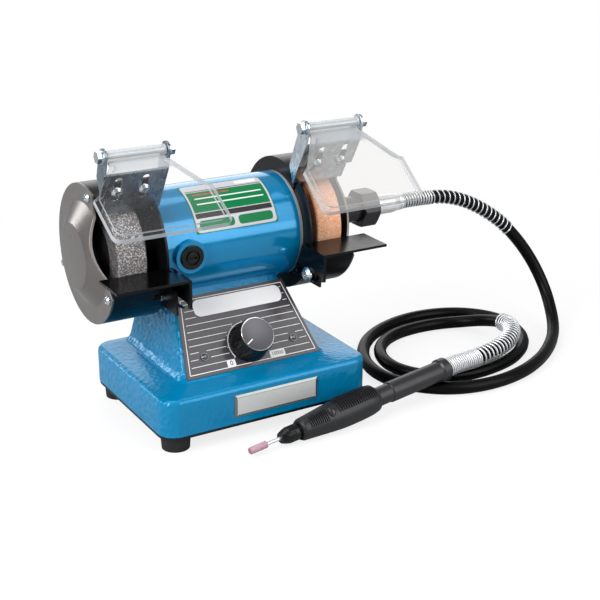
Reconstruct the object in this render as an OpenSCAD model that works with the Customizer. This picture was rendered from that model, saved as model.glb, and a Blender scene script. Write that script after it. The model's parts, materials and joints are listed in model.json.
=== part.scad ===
// Mini bench grinder with two 75 mm wheels and a flexible shaft.
// +X runs right along the spindle, +Y to the back, +Z up.
// The origin is on the table, under the middle of the base.

/* [Base] */
// Width of the base, left to right
base_w = 155; // [140:1:175]
// Depth of the base, front to back
base_d = 118; // [108:1:135]
// Height of the base casting without the feet
base_h = 26; // [22:1:34]
// Radius of the base's upright corners
base_corner = 12; // [6:1:18]
// Thickness of the casting walls
casting_wall = 4; // [3:0.5:6]
// Thickness of the steel bottom plate
bottom_t = 1.5; // [1:0.5:3]
// Height of a foot below the bottom plate
foot_h = 10.5; // [8:0.5:16]
// Diameter of a foot at its top
foot_d = 20; // [16:1:24]
// Distance from the base's edge to the middle of a foot
foot_inset = 13; // [12:1:18]

/* [Pedestal] */
// Width of the pedestal where it meets the base
pedestal_w = 105; // [98:1:112]
// Width of the pedestal at the motor
pedestal_top_w = 80; // [74:1:90]
// Distance from the base's back edge to the pedestal's back
pedestal_back = 4; // [2:1:12]
// Distance from the base's front edge to the foot of the control panel
panel_setback = 22; // [18:1:28]
// Lean of the control panel, from upright
panel_lean = 39; // [34:1:42]
// Length of the control panel up its slope
panel_l = 56; // [52:1:60]
// Width of the control panel at its foot
panel_w = 101; // [96:1:104]
// Width of the control panel at its top
panel_top_w = 81; // [76:1:84]
// Thickness of the control panel
panel_t = 1.5; // [1:0.5:2]

/* [Motor] */
// Height of the spindle above the table
spindle_h = 115; // [112:1:122]
// Distance of the spindle behind the middle of the base
spindle_back = 27; // [20:1:32]
// Diameter of the motor barrel
barrel_d = 74.5; // [72:0.5:78]
// Length of the painted barrel
barrel_l = 101; // [94:1:110]
// Wall of the motor barrel
barrel_wall = 3; // [2:0.5:4]
// Distance from the barrel's left end to the brushes
brush_inset = 16.5; // [15:0.5:18.5]
// Width of the bare ring at each end of the motor
end_ring = 2.5; // [2:0.5:3]
// Diameter of a brush boss on the barrel
brush_boss_d = 22; // [20:1:24]
// Diameter of the spindle at the wheels
spindle_d = 10; // [8:0.5:12]

/* [Wheels and guards] */
// Diameter of a grinding wheel
wheel_d = 75; // [68:1:78]
// Thickness of a grinding wheel
wheel_t = 20; // [14:1:21]
// Gap between a guard's inner plate and its wheel
wheel_gap = 11; // [10:0.5:12]
// Diameter of a wheel flange
flange_d = 46; // [36:1:50]
// Outer diameter of a wheel guard
guard_d = 94; // [92:1:98]
// Thickness of the guard sheet
guard_t = 1.5; // [1:0.25:2]
// Width of a guard, from its inner plate to its cover's face
guard_w = 38.5; // [37.5:0.5:40]
// Diameter of the flat face of the cover's boss
boss_face_d = 43; // [38:1:48]
// Diameter of the cover's boss at its root
boss_root_d = 71; // [66:1:74]
// Height of the cover's boss
boss_h = 8.5; // [7:0.5:10]
// Angle above the front at which the guard drum begins
guard_open_top = 64; // [60:1:68]
// Angle below the front at which the guard drum begins
guard_open_low = 9; // [8:1:14]

/* [Tool rests] */
// Distance of a rest's flange inside the guard's inner plate
rest_tuck = 4.2; // [4:0.1:4.5]
// Width of a rest
rest_w = 50.7; // [45.2:0.5:55.2]
// Depth of a rest's top plate
rest_d = 28.5; // [24:0.5:32]
// Drop of the rest's top below the spindle
rest_drop = 4; // [2:0.5:8]
// Gap between a rest and a new wheel
rest_gap = 4.5; // [4:0.5:6]
// Height of the rest's flange
rest_flange_h = 23; // [20:1:26]
// Thickness of the rest's sheet
rest_t = 1.8; // [1.2:0.1:2.2]
// Diameter of the screws that hold the rests
rest_screw_d = 5; // [4:0.5:6]

/* [Eye shields] */
// Lean of the shield bracket, its top to the front
bracket_lean = 30; // [26:1:34]
// Distance of the bracket's web in front of the spindle
bracket_off = 6.4; // [5:0.2:8]
// Depth of the bracket's foot inside the guard's rim
bracket_sink = 5; // [4:0.5:6]
// Distance of a bracket's inner side inside the guard's inner plate
bracket_tuck = 3.5; // [2.5:0.1:4]
// Width of a bracket
bracket_w = 43.5; // [43.5:0.5:46]
// Height of the bracket's slotted web
bracket_web = 34; // [32:1:36]
// Distance from the bracket's foot to the hinge
bracket_rise = 43; // [41:1:46]
// Depth of the bracket's side ears
bracket_ear = 13; // [12:0.5:15]
// Thickness of the bracket's sheet
bracket_t = 1.5; // [1:0.25:2]
// Distance between the two slots
slot_pitch = 18.5; // [17:0.5:22]
// Length of a slot
slot_l = 19.5; // [16:0.5:21]
// Diameter of the hinge bolts and bracket screws
hinge_d = 4; // [3:0.5:5]
// Diameter of the shield's hinge tube
tube_d = 7; // [6.5:0.5:8.5]
// Slope of the left shield below level
shield_slope_left = 30; // [24:1:40]
// Slope of the right shield below level
shield_slope_right = 38; // [30:1:42]
// Width of the shield's window
shield_w = 77.5; // [70:0.5:84]
// Distance from the hinge to the shield's lower edge
shield_l = 68; // [62:1:72]
// Distance from the hinge to the shield's widest corners
shield_shoulder = 34; // [30:1:38]
// Thickness of the clear sheet
shield_t = 2; // [1.5:0.25:3]

/* [Controls] */
// Diameter of the speed knob's face
knob_d = 24; // [20:1:26]
// Height of the speed knob
knob_h = 18; // [14:1:20]
// Distance of the knob up the panel
knob_up = 16.5; // [15:0.5:20]
// Diameter of an indicator lens
lamp_d = 4.2; // [3:0.2:5]
// Width of the name plate on the base
plate_w = 63; // [50:1:70]
// Height of the name plate
plate_h = 15.5; // [12:0.5:18]

/* [Flexible shaft] */
// Size of the coupling nut across its flats
coupling_af = 25; // [22:1:27]
// Diameter of the flexible shaft's hose
hose_d = 9.5; // [9:0.5:10]
// Diameter of the spring round the hose at the motor
motor_coil_d = 11.6; // [11:0.2:12.6]
// Diameter of the spring round the hose at the handpiece
tool_coil_d = 14; // [12:0.5:15]
// Diameter of the handpiece's rear sleeve
sleeve_d = 14.5; // [13:0.5:16]
// Diameter of the handpiece's grip
grip_d = 21; // [19:0.5:21]
// Diameter of the grinding point's shank
shank_d = 2.4; // [2:0.2:3.2]
// Diameter of the grinding point's stone
stone_d = 4.8; // [4:0.2:7]

/* [Hidden] */
$fn = 64;
eps = 0.01;
fit = 0.05;           // radial clearance of a running fit
seat = 0.05;          // clearance of pieces that are bolted together

// base and pedestal
bottom_z = foot_h + bottom_t;
base_top = bottom_z + base_h;
base_front = -base_d / 2;
base_back = base_d / 2;
feet_x = base_w / 2 - foot_inset;
feet_y = base_d / 2 - foot_inset;
foot_screw_d = 4;
foot_recess = 4;
edge_r = 3.5;
grommet_d = 12;
grommet_z = base_top + 10;
board_y = 10;

// panel frame: x right, y up the slope, z out of the panel's face
panel_y = base_front + panel_setback;
panel_z = base_top + 2;
panel_top_z = panel_z + panel_l * cos(panel_lean);
lamp_x = 34;
lamp_up = 13;
window_rim = 6;
board_z = bottom_z + 6;
board_t = 1.6;
board_w = 68;
board_d = 52;
board_screw_in = 4;

// motor
guard_in = barrel_l / 2 + end_ring;
brush_off = barrel_l / 2 - brush_inset;
label_left = -barrel_l / 2 + 23.5;
label_l = 61;
label_low = 20;       // clock angles of the label's lower and upper edges
label_high = 81;
barrel_r = barrel_d / 2;
barrel_bore = barrel_r - barrel_wall;
bearing_d = 26;
bearing_t = 8;
bearing_x = guard_in - 4 - bearing_t;
stack_x = 6;
stack_l = 30;
coil_end = 7;
coil_side = 6;
coil_h = 7;
coil_mid = 25;
pole_w = 17;
armature_d = 38;
air_gap = 0.5;
commutator_d = 20;
commutator_l = 12;
commutator_x = -brush_off - 3;
shoulder_l = 3;
fan_l = 6;
fan_x = stack_x + stack_l / 2 + coil_end + 0.8;
fan_d = 54;
tie_bolt_r = 31;
tie_bolt_d = 4;
saddle_screw_x = 24;
saddle_screw_d = 5;
saddle_bar = 7;
saddle_z = spindle_h - barrel_r - saddle_bar;
brush_w = 6;
brush_top = commutator_d / 2 + 0.3;
holder_d = 10;
cap_d = 16.4;
boss_reach = barrel_r + 3.5;

// guards
guard_out = guard_in + guard_w;
wheel_in = guard_in + wheel_gap;
guard_bore = 30;
guard_r = guard_d / 2;
cover_screw_r = guard_r - 5;
cover_screws = [76, -29, 204];
cut_r = 94;
cut_centre = [-111.4, 46];
drum_out = guard_out - guard_t - seat;
nut_af = 16;
nut_t = 6;
flange_t = 3.4;
wheel_out = wheel_in + wheel_t;
shaft_end = guard_out + 4.5;

// rests
rest_in = guard_in - rest_tuck;
rest_out = rest_in + rest_w;
rest_z = spindle_h - rest_drop;
rest_back = spindle_back - wheel_d / 2 - rest_gap;
rest_front = rest_back - rest_d;
rest_screw_z = rest_z - 19;
rest_slot_back = rest_front + 33;
rest_slot_front = rest_front + 6;
rest_flange_back = rest_front + 44;
rest_screw_left = rest_slot_back - 4.2;
rest_screw_right = rest_slot_back - 13;
rest_travel = 3;
lug_out = rest_in + rest_t + seat;

// shield brackets: u runs up the web, v runs from the web's front to the back
lean_up = [-sin(bracket_lean), cos(bracket_lean)];
lean_back = [cos(bracket_lean), sin(bracket_lean)];
bracket_in = guard_in - bracket_tuck;
bracket_out = bracket_in + bracket_w;
bracket_foot = (guard_r - bracket_sink) * lean_up - bracket_off * lean_back;
ear_tip = 5.2;
hinge_u = bracket_rise;
hinge_v = bracket_ear - ear_tip;
hinge_at = bracket_foot + hinge_u * lean_up + hinge_v * lean_back;
slot_mid = 21;
slot_w = hinge_d + 0.8;
screw_u = 19.5;
slots_x = (bracket_in + bracket_out) / 2 + 2;
web_notch = 12.5;
web_low_out = guard_out - guard_t - 1;
right_raise = 2.5;
ear_drop = 2;          // the ears' front edges start this far below the web's top
tube_x = (bracket_in + bracket_out) / 2;
tube_l = bracket_out - bracket_in - 2 * bracket_t - 0.8;
shield_side = -1.2;
corner_r = 5;
slide_down = 4;
// tab of the guard, right behind the web
tab_v = bracket_t;
tab_w = slot_pitch + 12;
tab_low = 1;
tab_top = screw_u + 6;
tab_off = bracket_off - tab_v - guard_t / 2;
tab_angle = acos(tab_off / (guard_r - guard_t / 2)) - bracket_lean;

// handpiece frame: z runs from the hose end to the tip
hp_end = [138, -66.4, 18.5];
hp_dir = [-134, -14, -11] / norm([134, 14, 11]);
hp_turn = atan2(hp_dir[1], hp_dir[0]);
hp_tilt = acos(hp_dir[2]);
ring_l = 8;
sleeve_l = 54;
neck_l = 12;
grip_start = sleeve_l + neck_l;
grip_l = 65;
nut_start = grip_start + grip_l + 1;
collet_l = 14;
tip_start = nut_start + collet_l;
quill_d = 4;
point_reach = 11;
stone_l = 13;

// flexible shaft
neck_d = 19;
neck_x = guard_out + boss_h;
neck_reach = 20;
coupling_x = neck_x + neck_reach;
coupling_l = 14;
neck_end = coupling_x + 9;
nut_end = coupling_x + coupling_l;
ferrule_l = 26;
coil_gap = 0.1;
hose_seat = 5;
hose_sides = 10;
tool_coil_from = 49;
hose_path = concat([[148, 27, 115], [160, 27, 115], [174, 27, 115], [187.5, 27, 114.4], [205, 27, 112],
    [223, 27, 106], [241, 26.5, 96.5], [258, 25.5, 84.5], [272, 23, 70.5], [283, 19, 55.5],
    [290, 13, 40.5], [292, 4, 26.5], [288, -8, 15.5], [279, -22, 8.5], [266, -36, 5.4],
    [248, -51, 4.9], [228, -64, 4.9], [205, -74, 4.9], [181, -79, 4.9], [158, -78, 4.9],
    [138, -71, 4.9], [122, -58, 4.9], [111.5, -41, 4.9], [109, -21, 4.9], [114, 0, 4.9],
    [126, 20, 4.9], [143, 36, 4.9], [164, 47, 4.9], [188, 53, 4.9], [212, 52, 4.9], [233, 44, 4.9],
    [248, 30, 4.9], [255, 12, 4.9], [253, -7, 4.9], [245, -25, 4.9], [231, -40, 4.9], [213, -51, 4.9],
    [193, -57, 4.9], [172, -59, 4.9], [152, -55, 4.9], [136, -44, 4.9], [127, -28, 4.9],
    [126, -10, 4.9], [133, 8, 4.9], [146, 22, 4.9], [164, 31, 4.9], [184, 34, 4.9], [204, 32, 5.1],
    [221, 23, 6.8], [232, 8, 11], [235, -10, 15.4], [230, -27, 18.2], [218, -42, 19.2],
    [202, -53, 19.4], [184, -60, 19.4], [165, -64, 19.4]],
    [hp_end - 11 * hp_dir, hp_end, hp_end + hose_seat * hp_dir]);

// ---------- frames and shared shapes ----------

module at_spindle() { translate([0, spindle_back, spindle_h]) children(); }

// revolves a profile of [radius, x] round the spindle
module turned(profile) {
    at_spindle() rotate([0, 90, 0]) rotate_extrude() polygon(profile);
}

module spindle_rod(d, x0, x1, hole = 0) {
    at_spindle() translate([x0, 0, 0]) rotate([0, 90, 0]) difference() {
        cylinder(h = x1 - x0, d = d);
        if (hole > 0) translate([0, 0, -1]) cylinder(h = x1 - x0 + 2, d = hole);
    }
}

// a place round the spindle: 0 is the front, 90 the top
module at_clock(x, angle, r) {
    translate([x, spindle_back - r * cos(angle), spindle_h + r * sin(angle)]) children();
}

module both_sides() {
    children();
    mirror([1, 0, 0]) children();
}

// the far side is mirrored for the left hand
module handed(side) {
    if (side < 0) mirror([1, 0, 0]) children();
    else children();
}

module on_panel() {
    translate([0, panel_y, panel_z]) rotate([90 - panel_lean, 0, 0]) children();
}

module pan_head(d, depth) {
    cylinder(h = depth * 0.4, d = d);
    translate([0, 0, depth * 0.4]) cylinder(h = depth * 0.6, d1 = d, d2 = d * 0.62);
}

module hexagon(af, h) { cylinder(h = h, d = af / cos(30), $fn = 6); }

module rounded_plate(w, d, h, r) {
    linear_extrude(h) difference() {
        square([w, d], center = true);
        for (sx = [-1, 1], sy = [-1, 1]) translate([sx * w / 2, sy * d / 2]) difference() {
            square(2 * r, center = true);
            translate([-sx * r, -sy * r]) circle(r);
        }
    }
}

// ---------- base ----------

pedestal_low = base_top - casting_wall;

// side view of the pedestal, with the panel's slope at the front
module pedestal_side(inset) {
    back = base_back - pedestal_back - inset;
    slope = tan(panel_lean);
    front = panel_y + (inset + panel_t) / cos(panel_lean);
    low = pedestal_low - 1;
    polygon([[front + (low - panel_z) * slope, low], [back, low], [back, spindle_h],
        [front + (spindle_h - panel_z) * slope, spindle_h]]);
}

module pedestal_front(inset) {
    low = pedestal_w / 2 - inset;
    top = pedestal_top_w / 2 - inset;
    polygon([[-low, pedestal_low - 1], [low, pedestal_low - 1], [low, panel_z],
        [top, panel_top_z + 3], [top, spindle_h], [-top, spindle_h],
        [-top, panel_top_z + 3], [-low, panel_z]]);
}

// extrudes a side view, drawn as [y, z], across the base
module across(w) { translate([-w / 2, 0, 0]) rotate([90, 0, 90]) linear_extrude(w) children(); }

// extrudes a front view, drawn as [x, z], through the base
module through(d) { translate([0, d / 2, 0]) rotate([90, 0, 0]) linear_extrude(d) children(); }

module pedestal_solid(inset) {
    intersection() {
        across(base_w) pedestal_side(inset);
        through(base_d) pedestal_front(inset);
    }
}

// flat bottom and two round top corners
module crowned(w, h, r) {
    difference() {
        translate([-w / 2, 0]) square([w, h]);
        for (s = [-1, 1]) translate([s * w / 2, h]) difference() {
            square(2 * r, center = true);
            translate([-s * r, -r]) circle(r);
        }
    }
}

module base_block() {
    intersection() {
        translate([0, 0, bottom_z]) rounded_plate(base_w, base_d, base_h, base_corner);
        translate([0, 0, bottom_z]) across(base_w + 2) crowned(base_d, base_h, edge_r);
        translate([0, 0, bottom_z]) through(base_d + 2) crowned(base_w, base_h, edge_r);
    }
}

module foot_places() {
    for (sx = [-1, 1], sy = [-1, 1]) translate([sx * feet_x, sy * feet_y, 0]) children();
}

module saddle_screw_places() {
    for (s = [-1, 1]) translate([s * saddle_screw_x, spindle_back, 0]) children();
}

module base_casting() color("#1d84b5") difference() {
    union() {
        difference() {
            union() {
                base_block();
                pedestal_solid(0);
            }
            translate([0, 0, bottom_z - 1]) rounded_plate(base_w - 2 * casting_wall,
                base_d - 2 * casting_wall, base_h + 1 - casting_wall, base_corner - casting_wall);
            translate([0, 0, -1]) pedestal_solid(casting_wall);
        }
        // bosses over the feet
        foot_places() translate([0, 0, bottom_z]) cylinder(h = base_h - casting_wall + eps, d = 12);
        // bars under the motor
        intersection() {
            pedestal_solid(casting_wall / 2);
            saddle_screw_places() translate([-6, -base_d, saddle_z]) cube([12, 2 * base_d, saddle_bar + 12]);
        }
    }
    spindle_rod(barrel_d + 2 * seat, -base_w / 2, base_w / 2);
    on_panel() translate([0, 0, -casting_wall - 12]) linear_extrude(20) panel_outline(-window_rim);
    foot_places() translate([0, 0, bottom_z - 1]) cylinder(h = 12, d = foot_screw_d + 0.1);
    saddle_screw_places() translate([0, 0, saddle_z - 1])
        cylinder(h = saddle_bar + 14, d = saddle_screw_d + 0.5);
    translate([0, 0, grommet_z]) rotate([-90, 0, 0]) cylinder(h = base_d, d = grommet_d + 2 * seat);
}

module saddle_screws() color("#9a9ca0") saddle_screw_places() {
    translate([0, 0, saddle_z - 3]) cylinder(h = 3, d = 9);
    translate([0, 0, saddle_z - eps])
        cylinder(h = spindle_h - barrel_bore - saddle_z - 0.4, d = saddle_screw_d);
}

module bottom_plate() color("#1a1a1c") {
    translate([0, 0, foot_h]) difference() {
        rounded_plate(base_w - 0.6, base_d - 0.6, bottom_t, base_corner);
        foot_places() translate([0, 0, -1]) cylinder(h = bottom_t + 2, d = foot_screw_d + 0.4);
    }
    board_places() translate([0, 0, bottom_z - eps]) cylinder(h = board_z - bottom_z + eps, d = 6);
}

module board_places() {
    for (sx = [-1, 1], sy = [-1, 1]) translate([sx * (board_w / 2 - board_screw_in),
        board_y + sy * (board_d / 2 - board_screw_in), 0]) children();
}

module control_board() color("#2f6b43") translate([0, 0, board_z]) difference() {
    translate([-board_w / 2, board_y - board_d / 2, 0]) cube([board_w, board_d, board_t]);
    board_places() translate([0, 0, -1]) cylinder(h = board_t + 2, d = 3.2);
}

module rubber_feet() color("#151515") foot_places() difference() {
    cylinder(h = foot_h, d1 = foot_d - 1.5, d2 = foot_d);
    translate([0, 0, -1]) cylinder(h = foot_recess + 1, d = 10);
    cylinder(h = foot_h + 1, d = foot_screw_d + 0.4);
}

module foot_screws() color("#9a9ca0") foot_places() {
    translate([0, 0, foot_recess - 2.4]) cylinder(h = 2.4, d = 8);
    translate([0, 0, foot_recess - 1]) cylinder(h = bottom_z + 8 - foot_recess, d = foot_screw_d);
}

module cable_grommet() color("#141414") translate([0, base_back - pedestal_back, grommet_z])
    rotate([-90, 0, 0]) difference() {
        union() {
            cylinder(h = 2.5, d = grommet_d + 5);
            translate([0, 0, -casting_wall - 2]) cylinder(h = casting_wall + 3, d = grommet_d);
        }
        translate([0, 0, -casting_wall - 3]) cylinder(h = casting_wall + 8, d = grommet_d - 5);
    }

module name_plate() color("#b9bdc0") translate([3.5, base_front, bottom_z + base_h / 2])
    rotate([90, 0, 0]) {
        linear_extrude(0.7) square([plate_w, plate_h], center = true);
        translate([0, 0, 0.7 - eps]) linear_extrude(0.5)
            square([plate_w - 4, plate_h - 4], center = true);
    }

// ---------- control panel ----------

// trapezoid of the panel, grown by a clearance
module panel_outline(grow = 0) {
    polygon([[-panel_w / 2 - grow, -grow], [panel_w / 2 + grow, -grow],
        [panel_top_w / 2 + grow, panel_l + grow], [-panel_top_w / 2 - grow, panel_l + grow]]);
}

module lamp_places() { for (s = [-1, 1]) translate([s * lamp_x, lamp_up, 0]) children(); }

module control_panel() color("#4a484c") on_panel() difference() {
    translate([0, 0, -panel_t]) linear_extrude(panel_t) panel_outline();
    translate([0, knob_up, -5]) cylinder(h = 10, d = 7.2);
    lamp_places() translate([0, 0, -5]) cylinder(h = 10, d = lamp_d + 1.5);
}

module indicator_lamps() color("#3b4046") on_panel() lamp_places() {
    translate([0, 0, -8]) cylinder(h = 8 - panel_t, d = lamp_d + 4);
    translate([0, 0, -panel_t - eps]) cylinder(h = panel_t + 0.8, d = lamp_d + 1.4);
    translate([0, 0, 0.8 - 2 * eps]) cylinder(h = 0.8, d1 = lamp_d, d2 = lamp_d - 2);
}

module speed_control() color("#8b8f93") on_panel() translate([0, knob_up, 0]) difference() {
    union() {
        translate([0, 0, -17]) cylinder(h = 9, d = 17);
        translate([0, 0, -8 - eps]) cylinder(h = 8 - panel_t + eps, d = 12);
        translate([0, 0, -panel_t - eps]) cylinder(h = panel_t + 4.5, d = 7);
    }
    translate([0, 0, -9]) cylinder(h = 20, d = 6 + 2 * fit);
}

module speed_knob() color("#161616") on_panel() translate([0, knob_up, 0]) {
    difference() {
        union() {
            translate([0, 0, 0.5]) cylinder(h = knob_h - 1.5, d1 = knob_d + 3, d2 = knob_d + 0.6);
            translate([0, 0, knob_h - 1 - eps]) cylinder(h = 1, d = knob_d);
            for (a = [0:15:345]) rotate(a) translate([knob_d / 2 + 0.6, 0, 2])
                cylinder(h = knob_h - 4.5, d = 1.6);
        }
        translate([0, 0, -1]) cylinder(h = 7, d = 13);
    }
    translate([0, 0, -8]) cylinder(h = 16, d = 6);
}

// ---------- motor ----------

module brush_bosses(d, reach) {
    translate([-brush_off, spindle_back, spindle_h]) rotate([90, 0, 0])
        translate([0, 0, -reach]) cylinder(h = 2 * reach, d = d);
}

module motor_barrel() color("#1d84b5") difference() {
    union() {
        spindle_rod(barrel_d, -barrel_l / 2, barrel_l / 2);
        brush_bosses(brush_boss_d, boss_reach);
    }
    spindle_rod(2 * barrel_bore, -barrel_l / 2 - 1, barrel_l / 2 + 1);
    brush_bosses(holder_d + 2 * seat, boss_reach + 1);
    brush_pair() translate([0, 0, boss_reach - 2]) cylinder(h = 5, d = cap_d + 2 * seat);
    saddle_screw_places() translate([0, 0, saddle_z]) cylinder(h = saddle_bar + 5, d = saddle_screw_d + 0.1);
}

// end bell: a bare rim, a wall and a bearing seat
module end_bell() {
    turned([[barrel_r - 0.2, barrel_l / 2 + seat], [barrel_r - 0.2, guard_in - seat],
        [spindle_d / 2 + 3, guard_in - seat], [spindle_d / 2 + 3, guard_in - 3.5],
        [bearing_d / 2 + seat, guard_in - 3.5], [bearing_d / 2 + seat, bearing_x],
        [bearing_d / 2 + 3, bearing_x], [bearing_d / 2 + 3, guard_in - 5],
        [barrel_bore - seat, guard_in - 5], [barrel_bore - seat, barrel_l / 2 + seat]]);
}

module bolt_holes(x0, x1, d) {
    for (angle = [45:90:315]) at_clock(x0, angle, tie_bolt_r) rotate([0, 90, 0]) cylinder(h = x1 - x0, d = d);
}

module end_bracket() {
    difference() {
        end_bell();
        bolt_holes(barrel_l / 2 - 10, guard_in + 1, tie_bolt_d + 0.2);
    }
}

module left_end_bracket() color("#b4b7ba") mirror([1, 0, 0]) end_bracket();
module right_end_bracket() color("#b4b7ba") end_bracket();

module end_bracket_bolts() color("#8d9094") {
    bolt_holes(-guard_in - guard_t - 1, guard_in + guard_t + 1, tie_bolt_d);
    both_sides() bolt_holes(guard_in + guard_t, guard_in + guard_t + 2.4, 7);
}

module stator_core() color("#70747a") difference() {
    spindle_rod(2 * (barrel_bore - seat), stack_x - stack_l / 2, stack_x + stack_l / 2,
        armature_d + 2 * air_gap);
    bolt_holes(stack_x - stack_l, stack_x + stack_l, tie_bolt_d + 0.2);
    at_spindle() translate([stack_x, 0, 0]) for (up = [-1, 1], s = [-1, 1])
        translate([0, s * (pole_w + coil_side) / 2, up * coil_mid])
            cube([stack_l + 2, coil_side + 0.1, coil_h + 0.1], center = true);
}

module field_coils() color("#b06a35") at_spindle() for (up = [-1, 1])
    translate([stack_x, 0, up * coil_mid]) difference() {
        cube([stack_l + 2 * coil_end, pole_w + 2 * coil_side, coil_h], center = true);
        cube([stack_l + 0.1, pole_w, coil_h + 2], center = true);
    }

module motor_bearings() color("#c2c5c8") both_sides()
    spindle_rod(bearing_d - 0.04, bearing_x + 0.2, bearing_x + bearing_t, spindle_d + 0.04);

module brush_pair() { for (turn = [90, -90]) translate([-brush_off, spindle_back, spindle_h])
    rotate([turn, 0, 0]) children(); }

module brush_holders() color("#b08d3c") brush_pair() difference() {
    translate([0, 0, brush_top + 4]) cylinder(h = boss_reach - 2 - brush_top - 4 - seat, d = holder_d);
    translate([0, 0, brush_top]) linear_extrude(boss_reach) square(brush_w + 0.2, center = true);
}

module carbon_brushes() color("#2a2a2c") brush_pair() translate([0, 0, brush_top])
    linear_extrude(13) square(brush_w, center = true);

module brush_springs() color("#a9acb0") brush_pair() translate([0, 0, brush_top + 13 + seat])
    difference() {
        cylinder(h = boss_reach - 2.5 - brush_top - 13 - seat, d = 5);
        translate([0, 0, -1]) cylinder(h = boss_reach, d = 3.4);
    }

module brush_caps() color("#1b1b1d") brush_pair() translate([0, 0, boss_reach - 2]) difference() {
    union() {
        translate([0, 0, 0]) cylinder(h = 3, d = cap_d);
        translate([0, 0, 3 - eps]) cylinder(h = 0.6, d1 = cap_d, d2 = cap_d - 1.2);
    }
    translate([0, 0, 1.8]) difference() {
        cylinder(h = 3, d = 10);
        cylinder(h = 3, d = 7.8);
    }
    translate([-3, -0.7, 2]) cube([6, 1.4, 3]);
}

module motor_label() color("#4f9a63") at_spindle() rotate([0, 90, 0]) translate([0, 0, label_left])
    intersection() {
        difference() {
            cylinder(h = label_l, d = barrel_d + 0.5);
            translate([0, 0, -1]) cylinder(h = label_l + 2, d = barrel_d + 0.04);
        }
        linear_extrude(label_l) polygon(barrel_d * [[0, 0], [-sin(label_low), -cos(label_low)], [-1, -1],
            [-sin(label_high), -cos(label_high)]]);
    }

module motor_shaft() color("#b9bcc0") union() {
    spindle_rod(spindle_d, -shaft_end, shaft_end);
    both_sides() {
        spindle_rod(spindle_d + 4, bearing_x - shoulder_l, bearing_x);
        spindle_rod(spindle_d + 4, bearing_x + bearing_t + 4.2, wheel_in - flange_t);
    }
    // square drive for the flexible shaft
    at_spindle() translate([shaft_end - 1, -2.5, -2.5]) cube([20, 5, 5]);
}

module armature_core() color("#6a6e74") difference() {
    spindle_rod(armature_d, stack_x - stack_l / 2, stack_x + stack_l / 2, spindle_d);
    for (a = [0:30:330]) at_clock(stack_x - stack_l / 2 - 1, a, armature_d / 2 - 1)
        rotate([0, 90, 0]) cylinder(h = stack_l + 2, d = 3, $fn = 16);
}

module armature_windings() color("#b9743c") {
    spindle_rod(armature_d - 6, stack_x - stack_l / 2 - coil_end, stack_x - stack_l / 2, spindle_d);
    spindle_rod(armature_d - 6, stack_x + stack_l / 2, stack_x + stack_l / 2 + coil_end, spindle_d);
}

module commutator() color("#c07a44") difference() {
    spindle_rod(commutator_d, commutator_x, commutator_x + commutator_l, spindle_d);
    for (a = [0:30:330]) at_spindle() rotate([a, 0, 0])
        translate([commutator_x - 1, commutator_d / 2 - 1, -0.25]) cube([commutator_l + 2, 2, 0.5]);
}

module cooling_fan() color("#dadad6") {
    spindle_rod(20, fan_x, fan_x + fan_l, spindle_d);
    spindle_rod(fan_d, fan_x, fan_x + 1.5, 19);
    for (a = [0:40:320]) at_spindle() rotate([a, 0, 0]) translate([fan_x + 1, 9.5, -0.75])
        cube([fan_l - 1, fan_d / 2 - 10.5, 1.5]);
}

// ---------- wheels ----------

// a flange between r and the spindle, with its rim at x
module flange(x, out) {
    turned([[spindle_d / 2, x], [flange_d / 2, x], [flange_d / 2, x + out],
        [flange_d / 2 - 4, x + out * flange_t], [spindle_d / 2, x + out * flange_t]]);
}

module wheel_flanges() color("#24262a") both_sides() {
    flange(wheel_in, -1);
    flange(wheel_out, 1);
}

module arbor_nuts() color("#a4a7ab") both_sides() at_spindle()
    translate([wheel_out + flange_t, 0, 0]) rotate([0, 90, 0]) difference() {
        hexagon(nut_af, nut_t);
        translate([0, 0, -1]) cylinder(h = nut_t + 2, d = spindle_d);
    }

module wheel() {
    turned([[spindle_d / 2, wheel_in], [wheel_d / 2 - 0.8, wheel_in], [wheel_d / 2, wheel_in + 0.8],
        [wheel_d / 2, wheel_out - 0.8], [wheel_d / 2 - 0.8, wheel_out], [spindle_d / 2, wheel_out]]);
}

module grey_wheel() color("#8f8f90") mirror([1, 0, 0]) wheel();
module orange_wheel() color("#d98a62") wheel();

// ---------- guards ----------

// pie round the spindle, drawn as [-z, y], from one clock angle to another
module guard_sector(from, to) {
    steps = 12;
    polygon(concat([[0, 0]], [for (i = [0:steps])
        let (a = from + (to - from) * i / steps) guard_d * [-sin(a), -cos(a)]]));
}

module guard_extrude(x0, x1) {
    at_spindle() rotate([0, 90, 0]) translate([0, 0, x0]) linear_extrude(x1 - x0) children();
}

// from the lower front, under and behind, up to the top
module drum_wall() {
    guard_extrude(guard_in, drum_out) difference() {
        circle(guard_r);
        circle(guard_r - guard_t);
        guard_sector(-guard_open_low, guard_open_top);
    }
}

// the tab's root: a narrower strip of the wall that comes further forward
module tab_root() {
    steps = 6;
    from = guard_open_top + 5;
    arc = [for (i = [0:steps]) from + (tab_angle - from) * i / steps];
    outer = [for (a = arc) (guard_r - 0.1) * [-sin(a), -cos(a)]];
    inner = [for (i = [steps:-1:0]) (guard_r - guard_t + 0.1) * [-sin(arc[i]), -cos(arc[i])]];
    guard_extrude(slots_x - tab_w / 2, slots_x + tab_w / 2) polygon(concat(outer, inner));
}

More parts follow.
